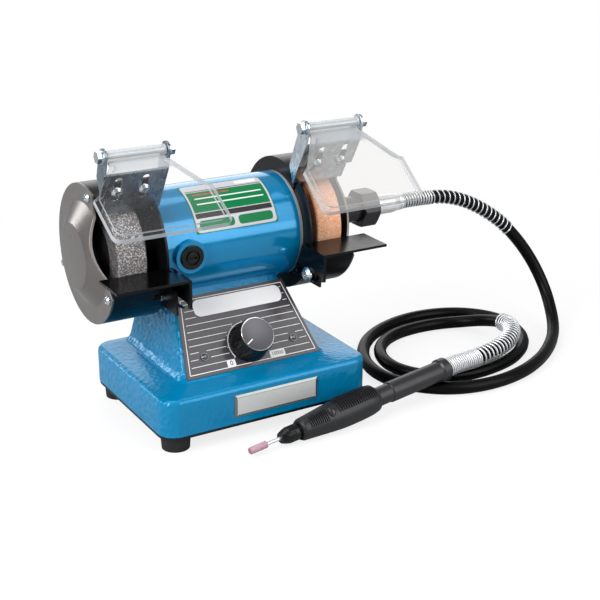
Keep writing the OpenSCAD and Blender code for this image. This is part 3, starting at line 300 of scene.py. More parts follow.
# after the colour, coated's numbers are rough, metal, spread, grain, depth and patch, in that order
finishes = {finish.name: finish for finish in (
    hammeredPaint("castBlue", (0, 126, 174), 1.15, 2.7, metal=0.15),
    hammeredPaint("barrelBlue", (0, 134, 186), 0.04, 9, 0.12, 0.6, 0.5, 0.36),
    coated("drumBlack", (8, 9, 11), 0.3, grain=3, coat=0.05, coatRough=0.1, specular=0.2),
    coated("coverGrey", (107, 102, 99), 0.3, 0.62, grain=0.9, coat=0.25, coatRough=0.2),
    coated("satinBlack", (5, 5, 6), 0.2, grain=0.8, depth=0.012, coat=0.04, coatRough=0.1, specular=0.2),
    coated("nutBlack", (52, 49, 52), 0.3, 0.5, grain=0.8, depth=0.015),
    coated("rubber", (16, 16, 17), 0.7, grain=0.5, depth=0.03),
    coated("hoseRubber", (5, 5, 6), 0.34, grain=1.6, specular=0.13),
    coated("zinc", (196, 204, 208), 0.22, 1.0, 0.12, 0.8, 0.015, 5),
    # painted shade and light: one hot-zinc sheet in two tones, the left bracket's darker and the right's
    # lighter, for how each faces the lamps
    spangled("zincLeft", (102, 114, 124), (150, 160, 168)),
    spangled("zincRight", (178, 188, 194), (224, 230, 232)),
    coated("springSteel", (222, 224, 227), 0.3, 0.62, 0.06, 0.5, 0.004, 12),
    coated("ferruleSteel", (244, 244, 244), 0.24, 0.4, 0.04, 0.5, 0.003, 20),
    coated("darkSteel", (52, 53, 56), 0.34, 0.9, 0.1, 0.8, 0.02, 12),
    coated("bareCasting", (196, 199, 202), 0.34, 0.55, 0.14, 0.7, 0.05, 8),
    coated("brass", (186, 148, 76), 0.34, 1.0, 0.1, 0.6, 0.01, 8),
    coated("copper", (176, 98, 52), 0.4, 1.0, 0.12, 0.5, 0.05, 6),
    coated("carbon", (38, 38, 40), 0.6, 0.0, 0.1, 0.4, 0.03, 6),
    coated("blackPlastic", (5, 5, 6), 0.28, grain=0.6, depth=0.012, specular=0.35),
    coated("panelGrey", (60, 57, 61), 0.24, grain=2.5, depth=0.003, spread=0.05, coat=0.2,
           coatRough=0.1, specular=0.4),
    coated("lensDark", (24, 34, 42), 0.06, grain=2, depth=0.003, coat=1.0, coatRough=0.02),
    coated("knobFace", (94, 92, 98), 0.4, 0.6, 0.06, 0.4, 0.005, 10),
    coated("knobRim", (214, 212, 216), 0.2, 1.0, 0.05, 0.6, 0.004, 8),
    coated("printWhite", (236, 234, 234), 0.4, grain=0.5, depth=0.003, spread=0.03),
    coated("printGrey", (196, 194, 200), 0.3, grain=0.5, depth=0.003, spread=0.05),
    coated("printBlack", (24, 26, 24), 0.4, grain=0.5, depth=0.003),
    coated("printGreen", (0, 118, 66), 0.34, grain=0.5, depth=0.003, spread=0.1, specular=0.2),
    coated("printRed", (196, 52, 54), 0.4, grain=0.5, depth=0.003),
    coated("board", (38, 92, 58), 0.4, grain=1.0),
    coated("plateSilver", (204, 206, 204), 0.5, 0.35, 0.04, 0.5, 0.004, 18),
    brushedMetal("plateEdge", (140, 146, 142), 0.2, 0, 0.003),
    coated("gripBlack", (24, 24, 26), 0.4, grain=0.6),
    coated("sleeveBlack", (36, 35, 38), 0.36, grain=0.6, depth=0.012),
    coated("whitePlastic", (214, 214, 208), 0.42, grain=1.0),
    abrasive("greyGrit", (34, 33, 34), (114, 110, 110), (206, 203, 202), 0.62),
    abrasive("orangeGrit", (236, 134, 96), (255, 186, 144), (255, 226, 198), 0.6),
    abrasive("pinkStone", (158, 108, 128), (186, 142, 160), (208, 180, 192), 0.3),
    clearSheet("clearLeft", 0.012, hinges["left"], (222, 224, 226)),
    clearSheet("clearRight", 0.21, hinges["right"], (208, 205, 203)),
    coated("clearEdge", (186, 190, 194), 0.12, grain=3, depth=0.01, alpha=0.72, coat=0.4),
    coated("clearTube", (206, 210, 213), 0.08, grain=6, depth=0.01, alpha=0.46, coat=1.0),
)}
print("finishes made,", len(finishes))

# the CAD pieces that stay in sight
nodeFinishes = {
    "barrelBlue": ["motor_barrel"],
    "darkSteel": ["bottom_plate", "wheel_flanges", "stator_core", "armature_core", "end_bracket_bolts"],
    "rubber": ["rubber_feet", "cable_grommet"],
    "zinc": ["foot_screws", "saddle_screws", "arbor_nuts", "left_hinge_bolt", "right_hinge_bolt",
             "speed_control"],
    "copper": ["field_coils", "armature_windings", "commutator"],
    "springSteel": ["motor_bearings", "brush_springs", "motor_shaft", "collet_spindle",
                    "handpiece_bearings"],
    "brass": ["brush_holders"],
    "carbon": ["carbon_brushes"],
    "blackPlastic": ["collet_nut"],
    "panelGrey": ["control_panel"],
    "lensDark": ["indicator_lamps"],
    "board": ["control_board"],
    "printGreen": ["motor_label"],
    "nutBlack": ["coupling_neck"],
    "sleeveBlack": ["handpiece_sleeve"],
    "whitePlastic": ["cooling_fan"],
    "greyGrit": ["grey_wheel"],
    "orangeGrit": ["orange_wheel"],
}
for finishName, covered in nodeFinishes.items():
    for nodeName in covered:
        data = nodes[nodeName].data
        data.materials.clear()
        data.materials.append(finishes[finishName].material)


def finishPiece(name, bm, finish, body="root", stands=(), sharp=32, normals=True, place=Matrix()):
    # moves a bmesh in millimetres to its place and closes it into a piece in metres, at the origin; finish is
    # a name, or a list by the faces' material index; normals is off where the faces already look outwards
    bmesh.ops.transform(bm, matrix=place, verts=bm.verts)
    bmesh.ops.remove_doubles(bm, verts=bm.verts, dist=weld)
    if normals:
        bmesh.ops.recalc_face_normals(bm, faces=bm.faces)
    bmesh.ops.scale(bm, vec=(mm, mm, mm), verts=bm.verts)
    data = meshOf(name, bm)
    data.shade_smooth()
    data.set_sharp_from_angle(angle=math.radians(sharp))
    for finishName in [finish] if isinstance(finish, str) else finish:
        data.materials.append(finishes[finishName].material)
    piece = addObject(name, data)
    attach(piece, body)
    if stands:
        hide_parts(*stands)
    return piece


def bentRow(bm, points):
    # a chain of edges through the points
    row = [bm.verts.new(p) for p in points]
    return row, [bm.edges.new(pair) for pair in zip(row, row[1:])]


def turn(bm, profile, steps=64, place=Matrix()):
    # revolves a profile of (radius, height) round local z
    row, edges = bentRow(bm, [(r, 0, z) for r, z in profile])
    made = bmesh.ops.spin(bm, geom=row + edges, cent=(0, 0, 0), axis=(0, 0, 1), angle=math.tau,
                          steps=steps, use_merge=True)
    verts = [v for e in made["geom_last"] if isinstance(e, bmesh.types.BMEdge) for v in e.verts]
    shell = linkedTo(verts or row)
    bmesh.ops.remove_doubles(bm, verts=shell, dist=weld / 2)
    shell = [v for v in shell if v.is_valid]
    bmesh.ops.transform(bm, matrix=place, verts=shell)
    return shell


def linkedTo(verts):
    # these vertices and all that edges join to them, in the same order each run
    found = dict.fromkeys(verts)
    edge = list(found)
    while edge:
        vert = edge.pop()
        for link in vert.link_edges:
            other = link.other_vert(vert)
            if other not in found:
                found[other] = None
                edge.append(other)
    return list(found)


def block(bm, size, place):
    made = bmesh.ops.create_cube(bm, size=1)["verts"]
    bmesh.ops.scale(bm, vec=size, verts=made)
    bmesh.ops.transform(bm, matrix=place, verts=made)


def loft(bm, rings):
    # closed rings with the same number of points, joined one to the next and closed at both ends
    loops = []
    for ring in rings:
        verts = [bm.verts.new(p) for p in ring]
        loops.append([bm.edges.new(pair) for pair in zip(verts, verts[1:] + verts[:1])])
    for low, high in zip(loops, loops[1:]):
        bmesh.ops.bridge_loops(bm, edges=low + high)
    for loop in (loops[0], loops[-1]):
        bmesh.ops.contextual_create(bm, geom=loop)


def roundedRing(x0, x1, y0, y1, radius, z, steps=8, sideSteps=6):
    # a level ring: rounded rectangle, its straight sides divided so that long walls stay even
    ring = []
    corners = ((x1 - radius, y1 - radius, 0), (x0 + radius, y1 - radius, 90),
               (x0 + radius, y0 + radius, 180), (x1 - radius, y0 + radius, 270))
    arcs = []
    for cx, cy, start in corners:
        turns = [math.radians(start + 90 * k / steps) for k in range(steps + 1)]
        arcs.append([Vector((cx + radius * math.cos(t), cy + radius * math.sin(t), z)) for t in turns])
    for arc, after in zip(arcs, arcs[1:] + arcs[:1]):
        ring += arc
        ring += [arc[-1].lerp(after[0], k / sideSteps) for k in range(1, sideSteps)]
    return ring


def cutBy(bm, cutter):
    # one closed bmesh less another, as a new bmesh
    shells = []
    for k, shape in enumerate((bm, cutter)):
        bmesh.ops.recalc_face_normals(shape, faces=shape.faces)
        shells.append(addObject("cut" + str(k), meshOf("cut" + str(k), shape)))
    modifier = shells[0].modifiers.new("cut", "BOOLEAN")
    modifier.operation = "DIFFERENCE"
    modifier.solver = "EXACT"
    modifier.object = shells[1]
    graph = bpy.context.evaluated_depsgraph_get()
    result = bmesh.new()
    result.from_object(shells[0], graph)
    for holder in shells:
        data = holder.data
        bpy.data.objects.remove(holder)
        bpy.data.meshes.remove(data)
    return result


flat = 0.6  # degrees between two faces that count as one


def fromNode(nodeName):
    # a CAD piece's own shape as a bmesh in millimetres, with the triangles of each flat face joined
    source = nodes[nodeName]
    bm = bmesh.new()
    bm.from_mesh(source.data)
    bmesh.ops.transform(bm, matrix=source.matrix_world, verts=bm.verts)
    bmesh.ops.scale(bm, vec=(1 / mm,) * 3, verts=bm.verts)
    bmesh.ops.remove_doubles(bm, verts=bm.verts, dist=weld)
    bmesh.ops.dissolve_limit(bm, angle_limit=math.radians(flat), verts=bm.verts, edges=bm.edges)
    return bm


def rounded(piece, width, sharp=30):
    edges = piece.modifiers.new("edges", "BEVEL")
    edges.width = width * mm
    edges.segments = 2
    edges.limit_method = "ANGLE"
    edges.angle_limit = math.radians(sharp)


def softened(nodeName, finish, width):
    # a CAD piece again, with its edges rounded off
    body = body_of(nodes[nodeName])[0]
    piece = finishPiece("soft_" + nodeName, fromNode(nodeName), finish, body, [nodeName], sharp=30,
                        normals=False)
    rounded(piece, width)


# thin is half a slot's width as a share of the cross's, turned is in degrees, and what is shorter along the
# screw than shortest is a nut or a washer
recess = {"thin": 0.12, "turned": 20, "headRim": 0.4, "shortest": 3, "above": 1, "edge": 0.15}


def crossed(nodeName, ways, width, depth):
    # screws with a cross recess in each head; ways gives where the heads look on the left (-1) and right (1)
    bm = fromNode(nodeName)
    cutter = bmesh.new()
    left = dict.fromkeys(bm.verts)
    while left:
        shell = linkedTo([next(iter(left))])
        for vert in shell:
            del left[vert]
        side = 1 if sum(v.co.x for v in shell) > 0 else -1
        way = Vector(ways[side]).normalized()
        heights = [v.co.dot(way) for v in shell]
        top = max(heights)
        if top - min(heights) < recess["shortest"]:
            continue
        rim = [v.co for v, height in zip(shell, heights) if height > top - recess["headRim"]]
        centre = sum(rim, Vector()) / len(rim)
        centre += way * (top - centre.dot(way))
        place = Matrix.Translation(centre) @ way.to_track_quat("Z", "Y").to_matrix().to_4x4()
        arm, thick = width / 2, width * recess["thin"]
        corner = [(arm, -thick), (arm, thick), (thick, thick)]
        outline = [Matrix.Rotation(math.radians(recess["turned"] + 90 * k), 4, "Z") @ Vector((x, y, 0))
                   for k in range(4) for x, y in corner]
        loft(cutter, [[place @ (spot + Vector((0, 0, z))) for spot in outline]
                      for z in (-depth, recess["above"])])
    body = body_of(nodes[nodeName])[0]
    piece = finishPiece("crossed_" + nodeName, cutBy(bm, cutter), "zinc", body, [nodeName])
    rounded(piece, recess["edge"])


# handpiece is where its sleeve begins and heading the way it points; the hose's middle lies this high on the
# table, it goes in by seat after a straight lead, and steps is how its curve divides each part of the route
hose = {"diameter": 9.5, "seat": 5, "lead": 11, "handpiece": (138, -66.4, 18.5), "heading": (-134, -14, -11),
        "lies": 4.9, "steps": 8}
# the route: down from the coupling nut, twice round on the table, and up to the sleeve
falling = [(148, 27, 115), (160, 27, 115), (174, 27, 115), (187.5, 27, 114.4), (205, 27, 112),
    (223, 27, 106), (241, 26.5, 96.5), (258, 25.5, 84.5), (272, 23, 70.5), (283, 19, 55.5), (290, 13, 40.5),
    (292, 4, 26.5), (288, -8, 15.5), (279, -22, 8.5), (266, -36, 5.4)]
lying = [(248, -51), (228, -64), (205, -74), (181, -79), (158, -78), (138, -71), (122, -58), (111.5, -41),
    (109, -21), (114, 0), (126, 20), (143, 36), (164, 47), (188, 53), (212, 52), (233, 44), (248, 30),
    (255, 12), (253, -7), (245, -25), (231, -40), (213, -51), (193, -57), (172, -59), (152, -55), (136, -44),
    (127, -28), (126, -10), (133, 8), (146, 22), (164, 31), (184, 34)]
rising = [(204, 32, 5.1), (221, 23, 6.8), (232, 8, 11), (235, -10, 15.4), (230, -27, 18.2), (218, -42, 19.2),
    (202, -53, 19.4), (184, -60, 19.4), (165, -64, 19.4)]
handpieceEnd = Vector(hose["handpiece"])
handpieceWay = Vector(hose["heading"]).normalized()
hosePoints = (falling + [(x, y, hose["lies"]) for x, y in lying] + rising
              + [handpieceEnd + along * handpieceWay for along in (-hose["lead"], 0, hose["seat"])])


def smoothRoute(points, steps):
    # an even curve through the points, and the distance along it at each of them
    spots = [Vector(p) for p in points]
    ends = [2 * spots[0] - spots[1]] + spots + [2 * spots[-1] - spots[-2]]
    line, marks = [spots[0]], [0.0]
    gone = 0.0
    for a, b, c, d in zip(ends, ends[1:], ends[2:], ends[3:]):
        for k in range(1, steps + 1):
            t = k / steps
            spot = 0.5 * (2 * b + (c - a) * t + (2 * a - 5 * b + 4 * c - d) * t ** 2
                          + (3 * b - a - 3 * c + d) * t ** 3)
            gone += (spot - line[-1]).length
            line.append(spot)
        marks.append(gone)
    return line, marks


hoseLine, hoseMarks = smoothRoute(hosePoints, hose["steps"])


def addCurve(name, points, radius, finish, sides):
    data = bpy.data.curves.new(name, "CURVE")
    data.dimensions = "3D"
    data.bevel_depth = radius * mm
    data.bevel_resolution = sides
    data.use_fill_caps = True
    spline = data.splines.new("POLY")
    spline.points.add(len(points) - 1)
    for point, place in zip(spline.points, points):
        point.co = (*(Vector(place) * mm), 1)
    spline.use_smooth = True
    data.materials.append(finishes[finish].material)
    return addObject(name, data)


def windRound(line, start, end, radius, pitches, perTurn=18):
    # a helix round the line from one distance to another; pitches is a list of (share of the way that it
    # holds up to, pitch)
    frames, gone, side = [], 0.0, Vector((0, 0, 1))
    for k, spot in enumerate(line):
        way = (line[min(k + 1, len(line) - 1)] - line[max(k - 1, 0)]).normalized()
        side = (side - side.dot(way) * way).normalized()
        if k:
            gone += (spot - line[k - 1]).length
        frames.append((gone, spot, side.copy(), way.cross(side)))
    points, turned, at, k = [], 0.0, start, 0
    while at < end:
        while k < len(frames) - 2 and frames[k + 1][0] < at:
            k += 1
        low, high = frames[k], frames[k + 1]
        t = (at - low[0]) / (high[0] - low[0])
        centre, side, across = (low[n].lerp(high[n], t) for n in (1, 2, 3))
        points.append(centre + radius * (math.cos(turned) * side + math.sin(turned) * across))
        share = (at - start) / (end - start)
        pitch = next(p for limit, p in pitches if share <= limit)
        turned += math.tau / perTurn
        at += pitch / perTurn
    return points


# coil is the outside diameter; from, closeTo and spacedTo count the route's points; the others are lengths:
# short and inset are left out at the end and the start, and close is the tool spring's close-wound stretch
springs = {
    "motor": {"coil": 11.9, "wire": 1.5, "pitch": 2.45, "core": 10.4, "seat": 0.8, "from": 1, "closeTo": 3,
              "thin": 1.0, "spaced": 5.0, "spacedTo": 8, "short": 8, "sunk": 0.1},
    "tool": {"coil": 14.0, "wire": 1.45, "pitch": 1.75, "close": 29, "seat": 0.6,
             "spaced": 4.2, "from": 49, "inset": 20},
}
# radius and place along the spindle: flange, groove, body and the lip that holds the spring
ferruleProfile = [(4.8, 129), (9.5, 129), (9.5, 131), (7, 131), (7, 134), (8, 134), (7.5, 135),
                  (7.3, 137), (7.3, 151), (7.1, 152.5), (6.3, 156.2), (5.8, 156.7), (5.8, 157.7),
                  (6.3, 158.2), (6.2, 160), (4.8, 160), (4.8, 129)]


def layAlong(piece, stands=()):
    # what lies on the route stays with the base
    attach(piece, "root")
    if stands:
        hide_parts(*stands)
    return piece


def windPiece(name, start, end, radius, pitches, wire, stands=()):
    turns = windRound(hoseLine, start, end, radius, pitches)
    return layAlong(addCurve(name, turns, wire / 2, "springSteel", 2), stands)


def addShaft():
    tube = layAlong(addCurve("flexible_shaft_hose", hoseLine, hose["diameter"] / 2, "hoseRubber", 5),
                    ["flexible_hose"])
    s = springs["motor"]
    closeTo = hoseMarks[s["closeTo"]]  # the motor's spring is wound close up to here, and spaced beyond
    coreLine = hoseLine[s["from"] * hose["steps"]:s["closeTo"] * hose["steps"]]
    core = layAlong(addCurve("spring_core", coreLine, s["core"] / 2, "darkSteel", 4))
    motorCoil = windPiece("motor_end_spring", hoseMarks[s["from"]] + s["seat"], closeTo,
                          (s["coil"] - s["wire"]) / 2, [(1, s["pitch"])], s["wire"], ["motor_end_coil"])
    wire = windPiece("shaft_wire", closeTo, hoseMarks[s["spacedTo"]] - s["short"],
                     (hose["diameter"] + s["thin"]) / 2 - s["sunk"], [(1, s["spaced"])], s["thin"])
    s = springs["tool"]
    start, end = hoseMarks[s["from"]] + s["inset"], hoseMarks[-2] - s["seat"]
    toolCoil = windPiece("tool_end_spring", start, end, (s["coil"] - s["wire"]) / 2,
                         [(1 - s["close"] / (end - start), s["spaced"]), (1, s["pitch"])], s["wire"],
                         ["tool_end_coil"])
    bm = bmesh.new()
    turn(bm, ferruleProfile, 64, atSpindle)
    ferrule = finishPiece("ferrule_turned", bm, "ferruleSteel", "root", ["hose_ferrule"], 28)
    hoseLine[0] * mm
    hoseMarks[-1] * mm


addShaft()
print("flexible shaft laid,", round(hoseMarks[-1]), "mm")


alongTool = Matrix.Translation(handpieceEnd) @ handpieceWay.to_track_quat("Z", "Y").to_matrix().to_4x4()
toolUp = (Vector((0, 0, 1)) - handpieceWay * handpieceWay.z).normalized()
toolSide = toolUp.cross(handpieceWay)  # looks to the front of the machine
# outer and inner are (radius, place along the tool); a pad's low and high are degrees from the top, and notch
# is an oval dimple's half sizes
grip = {"outer": [(6.6, 66), (8.0, 66), (8.5, 66.3), (9.2, 68), (10.1, 74), (10.5, 84), (10.5, 95),
                  (10.2, 101), (9.4, 110), (8.4, 120), (7.6, 128.5), (7.2, 129.8), (6.6, 131)],
        "inner": [(4.6, 131), (4.6, 91), (6.05, 91), (6.05, 68), (6.65, 68), (6.65, 66)],
        "longPad": {"from": 69, "to": 102, "pitch": 1.9, "low": -26, "high": 52},
        "shortPad": {"from": 111.5, "to": 124.5, "pitch": 1.45, "low": 16, "high": 68},
        "ribWide": 0.95, "ribHigh": 1.1, "ribSunk": 0.4, "ribTop": 0.6, "ribSteps": 10,
        "notchAt": 107.6, "notchTurn": 38, "notchOut": 0.3, "notch": (2.8, 4.2, 1.9)}


def onTool(radius, along, turned):
    # turned is in degrees from the top towards the front
    angle = math.radians(turned)
    outwards = toolUp * math.cos(angle) + toolSide * math.sin(angle)
    return handpieceEnd + handpieceWay * along + outwards * radius


def gripRadius(along):
    outer = grip["outer"]
    for (r0, h0), (r1, h1) in zip(outer, outer[1:]):
        if h0 <= along <= h1:
            return r0 + (r1 - r0) * (along - h0) / max(h1 - h0, 0.01)


def addGrip(g):
    bm = bmesh.new()
    outer = smoothRoute([(r, 0, h) for r, h in g["outer"]], 3)[0]
    turn(bm, [(p.x, p.z) for p in outer] + g["inner"] + [g["outer"][0]], 72, alongTool)
    cutter = bmesh.new()
    ball = bmesh.ops.create_uvsphere(cutter, u_segments=24, v_segments=12, radius=1)["verts"]
    out = (onTool(1, 0, g["notchTurn"]) - handpieceEnd).normalized()
    place = Matrix((handpieceWay, out.cross(handpieceWay), out)).transposed().to_4x4()
    place.translation = onTool(gripRadius(g["notchAt"]) + g["notchOut"], g["notchAt"], g["notchTurn"])
    bmesh.ops.scale(cutter, vec=g["notch"], verts=ball)
    bmesh.ops.transform(cutter, matrix=place, verts=ball)
    finishPiece("grip_moulded", cutBy(bm, cutter), "gripBlack", "root", ["handpiece_grip"], 35)
    ribs = bmesh.new()
    wide, high, sunk, steps = g["ribWide"] / 2, g["ribHigh"], g["ribSunk"], g["ribSteps"]
    top = wide * g["ribTop"]
    section = ((-sunk, -wide), (high, -top), (high, top), (-sunk, wide))
    for pad in (g["longPad"], g["shortPad"]):
        for k in range(round((pad["to"] - pad["from"]) / pad["pitch"]) + 1):
            along = pad["from"] + k * pad["pitch"]
            radius = gripRadius(along)
            loft(ribs, [[onTool(radius + r, along + a, pad["low"] + (pad["high"] - pad["low"]) * n / steps)
                         for r, a in section] for n in range(steps + 1)])
    finishPiece("grip_ribs", ribs, "gripBlack", sharp=40)


# shank and stone are radii, the places are along the tool, and worn is the rounding at the stone's end
point = {"shank": 1.2, "shankFrom": 130, "stone": 2.4, "stoneFrom": 157, "end": 170, "edge": 0.3, "worn": 0.8}


def addPoint(p):
    # a steel shank, and beyond its end the bonded stone
    bm = bmesh.new()
    shank, stone, low, high, edge = p["shank"], p["stone"], p["stoneFrom"], p["end"], p["edge"]
    turn(bm, [(0, p["shankFrom"]), (shank, p["shankFrom"]), (shank, low), (stone - edge / 2, low),
              (stone, low + edge), (stone, high - p["worn"]), (stone - edge, high), (0, high)], 40)
    for face in bm.faces:
        face.material_index = int(face.calc_center_median().z > low - weld)
    finishPiece("mounted_point", bm, ["springSteel", "pinkStone"], "tool_spindle", ["grinding_point"],
                place=alongTool)


addGrip(grip)
addPoint(point)
print("handpiece made")


# the base is width by depth from low to top; the pedestal's front follows the panel and its top the barrel
casting = {"width": 155, "depth": 118, "low": 12, "top": 38, "corner": 12, "edge": 3.5,
           "footWidth": 105, "topWidth": 80, "back": 55, "fillet": 4.5, "pedestalCorner": 5,
           "panelFoot": (-37, 40), "panelLean": 39, "panelLength": 56, "panelThick": 1.5,
           "barrel": 74.5, "barrelGap": 0.05, "barrelCut": 90, "saddle": 12, "chamfer": 0.6, "panelOver": 2,
           "ringsIn": (9, 6), "cornerGrow": 0.6, "edgeSteps": 6, "filletSteps": 5, "wallSteps": 9}


def addCasting(c):
    bm = bmesh.new()
    halfX, halfY, edge = c["width"] / 2, c["depth"] / 2, c["edge"]
    lean = math.radians(c["panelLean"])
    footY, footZ = c["panelFoot"]
    setBack = c["panelThick"] / math.cos(lean)
    topZ = footZ + c["panelLength"] * math.cos(lean)
    low, chamfer = c["low"], c["chamfer"]
    above, below = c["ringsIn"]
    # (height, inset) of the block's rings: chamfer, upright wall and rounded top edge
    levels = [(low, chamfer), (low + chamfer, 0), (low + above, 0), (c["top"] - edge - below, 0)]
    for k in range(c["edgeSteps"] + 1):
        turned = math.radians(90 * k / c["edgeSteps"])
        levels.append((c["top"] - edge + edge * math.sin(turned), edge * (1 - math.cos(turned))))
    rings = [roundedRing(-halfX + inset, halfX - inset, -halfY + inset, halfY - inset, c["corner"] - inset, z)
             for z, inset in levels]

    def wall(z, spread):
        # the pedestal's level section, spread outwards by the fillet at its foot
        up = min(1, max(0, (z - footZ) / (topZ - footZ)))
        half = (c["footWidth"] + (c["topWidth"] - c["footWidth"]) * up) / 2 + spread
        front = footY + (z - footZ) * math.tan(lean) + setBack - spread
        back = min(c["back"] + spread, halfY - edge)
        return roundedRing(-half, half, front, back, c["pedestalCorner"] + spread * c["cornerGrow"], z)

    fillet = c["fillet"]
    for k in range(c["filletSteps"] + 1):
        turned = math.radians(90 * k / c["filletSteps"])
        rings.append(wall(c["top"] + fillet * (1 - math.cos(turned)), fillet * (1 - math.sin(turned))))
    start, steps = c["top"] + fillet, c["wallSteps"]
    rings += [wall(start + (topZ + c["panelOver"] - start) * k / steps, 0) for k in range(1, steps + 1)]
    rings.append(wall(spindle.z - c["saddle"], 0))
    loft(bm, rings)
    cutter = bmesh.new()
    bore, half = c["barrel"] / 2 + c["barrelGap"], c["barrelCut"]
    turn(cutter, [(0, -half), (bore, -half), (bore, half), (0, half)], 96, atSpindle)
    finishPiece("cast_base", cutBy(bm, cutter), "castBlue", "root", ["base_casting"], 40)


addCasting(casting)
print("base cast")


# local x is along the panel, y up it and z out of it
onPanel = (Matrix.Translation((0, *casting["panelFoot"]))
           @ Matrix.Rotation(math.radians(90 - casting["panelLean"]), 4, "X"))
# inset is the frame line's, print how thick the ink is, and clearRing and lampClear are bare rings' radii
panel = {"footHalf": 50.5, "topHalf": 40.5, "length": casting["panelLength"], "inset": 2.4, "line": 0.5,
         "thinLine": 0.4, "print": 0.06, "firstLine": 7.3, "linePitch": 4.8, "lines": 10, "lineShort": 2,
         "knobUp": 16.5, "clearRing": 16.5, "lampX": 34, "lampUp": 13, "lampClear": 5.0,
         "pillLow": 40.5, "pillHigh": 52.5, "pillLeft": -31, "pillRight": 36, "pillCorner": 4.5,
         "pillClear": 1, "pillLift": 0.02, "shortest": 1}
# the scale runs clockwise from start, in degrees from the right; numbers has words, place, patch and height
dial = {"radius": 14.6, "tickEnd": 15.6, "start": 212, "sweep": 245, "steps": 32, "ticks": 8,
        "line": 0.7, "tickLine": 0.4, "patchCorner": 1.2, "patchLift": 0.03, "lift": 0.05, "thick": 0.03,
        "numbers": (("0", (-16.5, 4.9), (6.2, 5.2), 3.4), ("10000", (18.7, 4.9), (11.5, 5.2), 2.7))}


def panelHalf(p, up):
    return p["footHalf"] + (p["topHalf"] - p["footHalf"]) * up / p["length"] - p["inset"]


def printStroke(bm, start, end, width, lift):
    # a flat stroke on the panel between two points
    a, b = Vector((*start, 0)), Vector((*end, 0))
    way = b - a
    place = Matrix.Translation((a + b) / 2 + Vector((0, 0, lift / 2))) @ Matrix.Rotation(
        math.atan2(way.y, way.x), 4, "Z")
    block(bm, (way.length + width, width, lift), onPanel @ place)


def gapped(p, up):
    # stretches of one line, clear of the knob's ring, the lamps and the bare field
    half = panelHalf(p, up) - p["lineShort"]
    gaps = []
    for x, middle, clear in ((0, p["knobUp"], p["clearRing"]), (-p["lampX"], p["lampUp"], p["lampClear"]),
                             (p["lampX"], p["lampUp"], p["lampClear"])):
        reach = clear ** 2 - (up - middle) ** 2
        if reach > 0:
            gaps.append((x - math.sqrt(reach), x + math.sqrt(reach)))
    if p["pillLow"] - p["pillClear"] < up < p["pillHigh"] + p["pillClear"]:
        gaps.append((p["pillLeft"], p["pillRight"]))
    spots = [-half] + [x for gap in sorted(gaps) for x in gap] + [half]
    return [(a, b) for a, b in zip(spots[::2], spots[1::2]) if b - a > p["shortest"]]


def roundedPatch(bm, centre, size, radius, high):
    (x, y), halfX, halfY = centre, size[0] / 2, size[1] / 2
    ring = roundedRing(x - halfX, x + halfX, y - halfY, y + halfY, radius, 0, 6, 1)
    loft(bm, [[onPanel @ Vector((v.x, v.y, z)) for v in ring] for z in (0, high)])


def onDial(radius, share):
    # a place on the panel, at this share of the scale
    turned = math.radians(dial["start"] - dial["sweep"] * share)
    return radius * math.cos(turned), panel["knobUp"] + radius * math.sin(turned)


def addPrinting(p):
    bm = bmesh.new()
    low, high = p["inset"], p["length"] - p["inset"]
    corners = [(side * panelHalf(p, up), up) for side, up in ((-1, low), (1, low), (1, high), (-1, high))]
    for start, end in zip(corners, corners[1:] + corners[:1]):
        printStroke(bm, start, end, p["line"], p["print"])
    for k in range(p["lines"]):
        up = p["firstLine"] + k * p["linePitch"]
        for left, right in gapped(p, up):
            printStroke(bm, (left, up), (right, up), p["thinLine"], p["print"])
    scale = [onDial(dial["radius"], k / dial["steps"]) for k in range(dial["steps"] + 1)]
    for start, end in zip(scale, scale[1:]):
        printStroke(bm, start, end, dial["line"], p["print"])
    for share in (k / dial["ticks"] for k in range(dial["ticks"] + 1)):
        start, end = onDial(dial["radius"], share), onDial(dial["tickEnd"], share)
        printStroke(bm, start, end, dial["tickLine"], p["print"])
    width, height = p["pillRight"] - p["pillLeft"], p["pillHigh"] - p["pillLow"]
    middle = (p["pillLeft"] + width / 2, p["pillLow"] + height / 2)
    roundedPatch(bm, middle, (width, height), p["pillCorner"], p["print"] + p["pillLift"])
    for _, centre, size, _ in dial["numbers"]:
        roundedPatch(bm, centre, size, dial["patchCorner"], p["print"] + dial["patchLift"])
    finishPiece("panel_print", bm, "printWhite")
    for words, centre, _, tall in dial["numbers"]:
        addDigits(words, centre, tall)


def addDigits(words, centre, tall):
    data = bpy.data.curves.new("digits", "FONT")
    data.body = words
    data.size = tall * 1.35 * mm  # a font's size is about this many times its digits' height
    data.align_x = data.align_y = "CENTER"
    data.extrude = dial["thick"] * mm
    data.resolution_u = 4
    holder = addObject("digits", data)
    graph = bpy.context.evaluated_depsgraph_get()
    bm = bmesh.new()
    bm.from_mesh(holder.evaluated_get(graph).to_mesh())
    bpy.data.objects.remove(holder)
    bmesh.ops.scale(bm, vec=(1 / mm,) * 3, verts=bm.verts)
    place = onPanel @ Matrix.Translation((*centre, panel["print"] + dial["lift"]))
    finishPiece("dial_number_" + words, bm, "printBlack", place=place)


addPrinting(panel)

# face, rim, skirt, flare, wall and shaft are radii; ribs are cut where the radius is past wall
knob = {"face": 12, "rim": 12.6, "skirt": 13.2, "flare": 14.2, "wall": 10, "shaft": 3, "sunk": 8, "gap": 0.5,
        "height": 18, "ribs": 48, "ribDepth": 0.55, "ribsFrom": 1.8, "ribsShort": 1.0,
        "pointer": (5.2, 0.7, 0.12), "pointerOut": 8.3, "pointerTurn": -150}


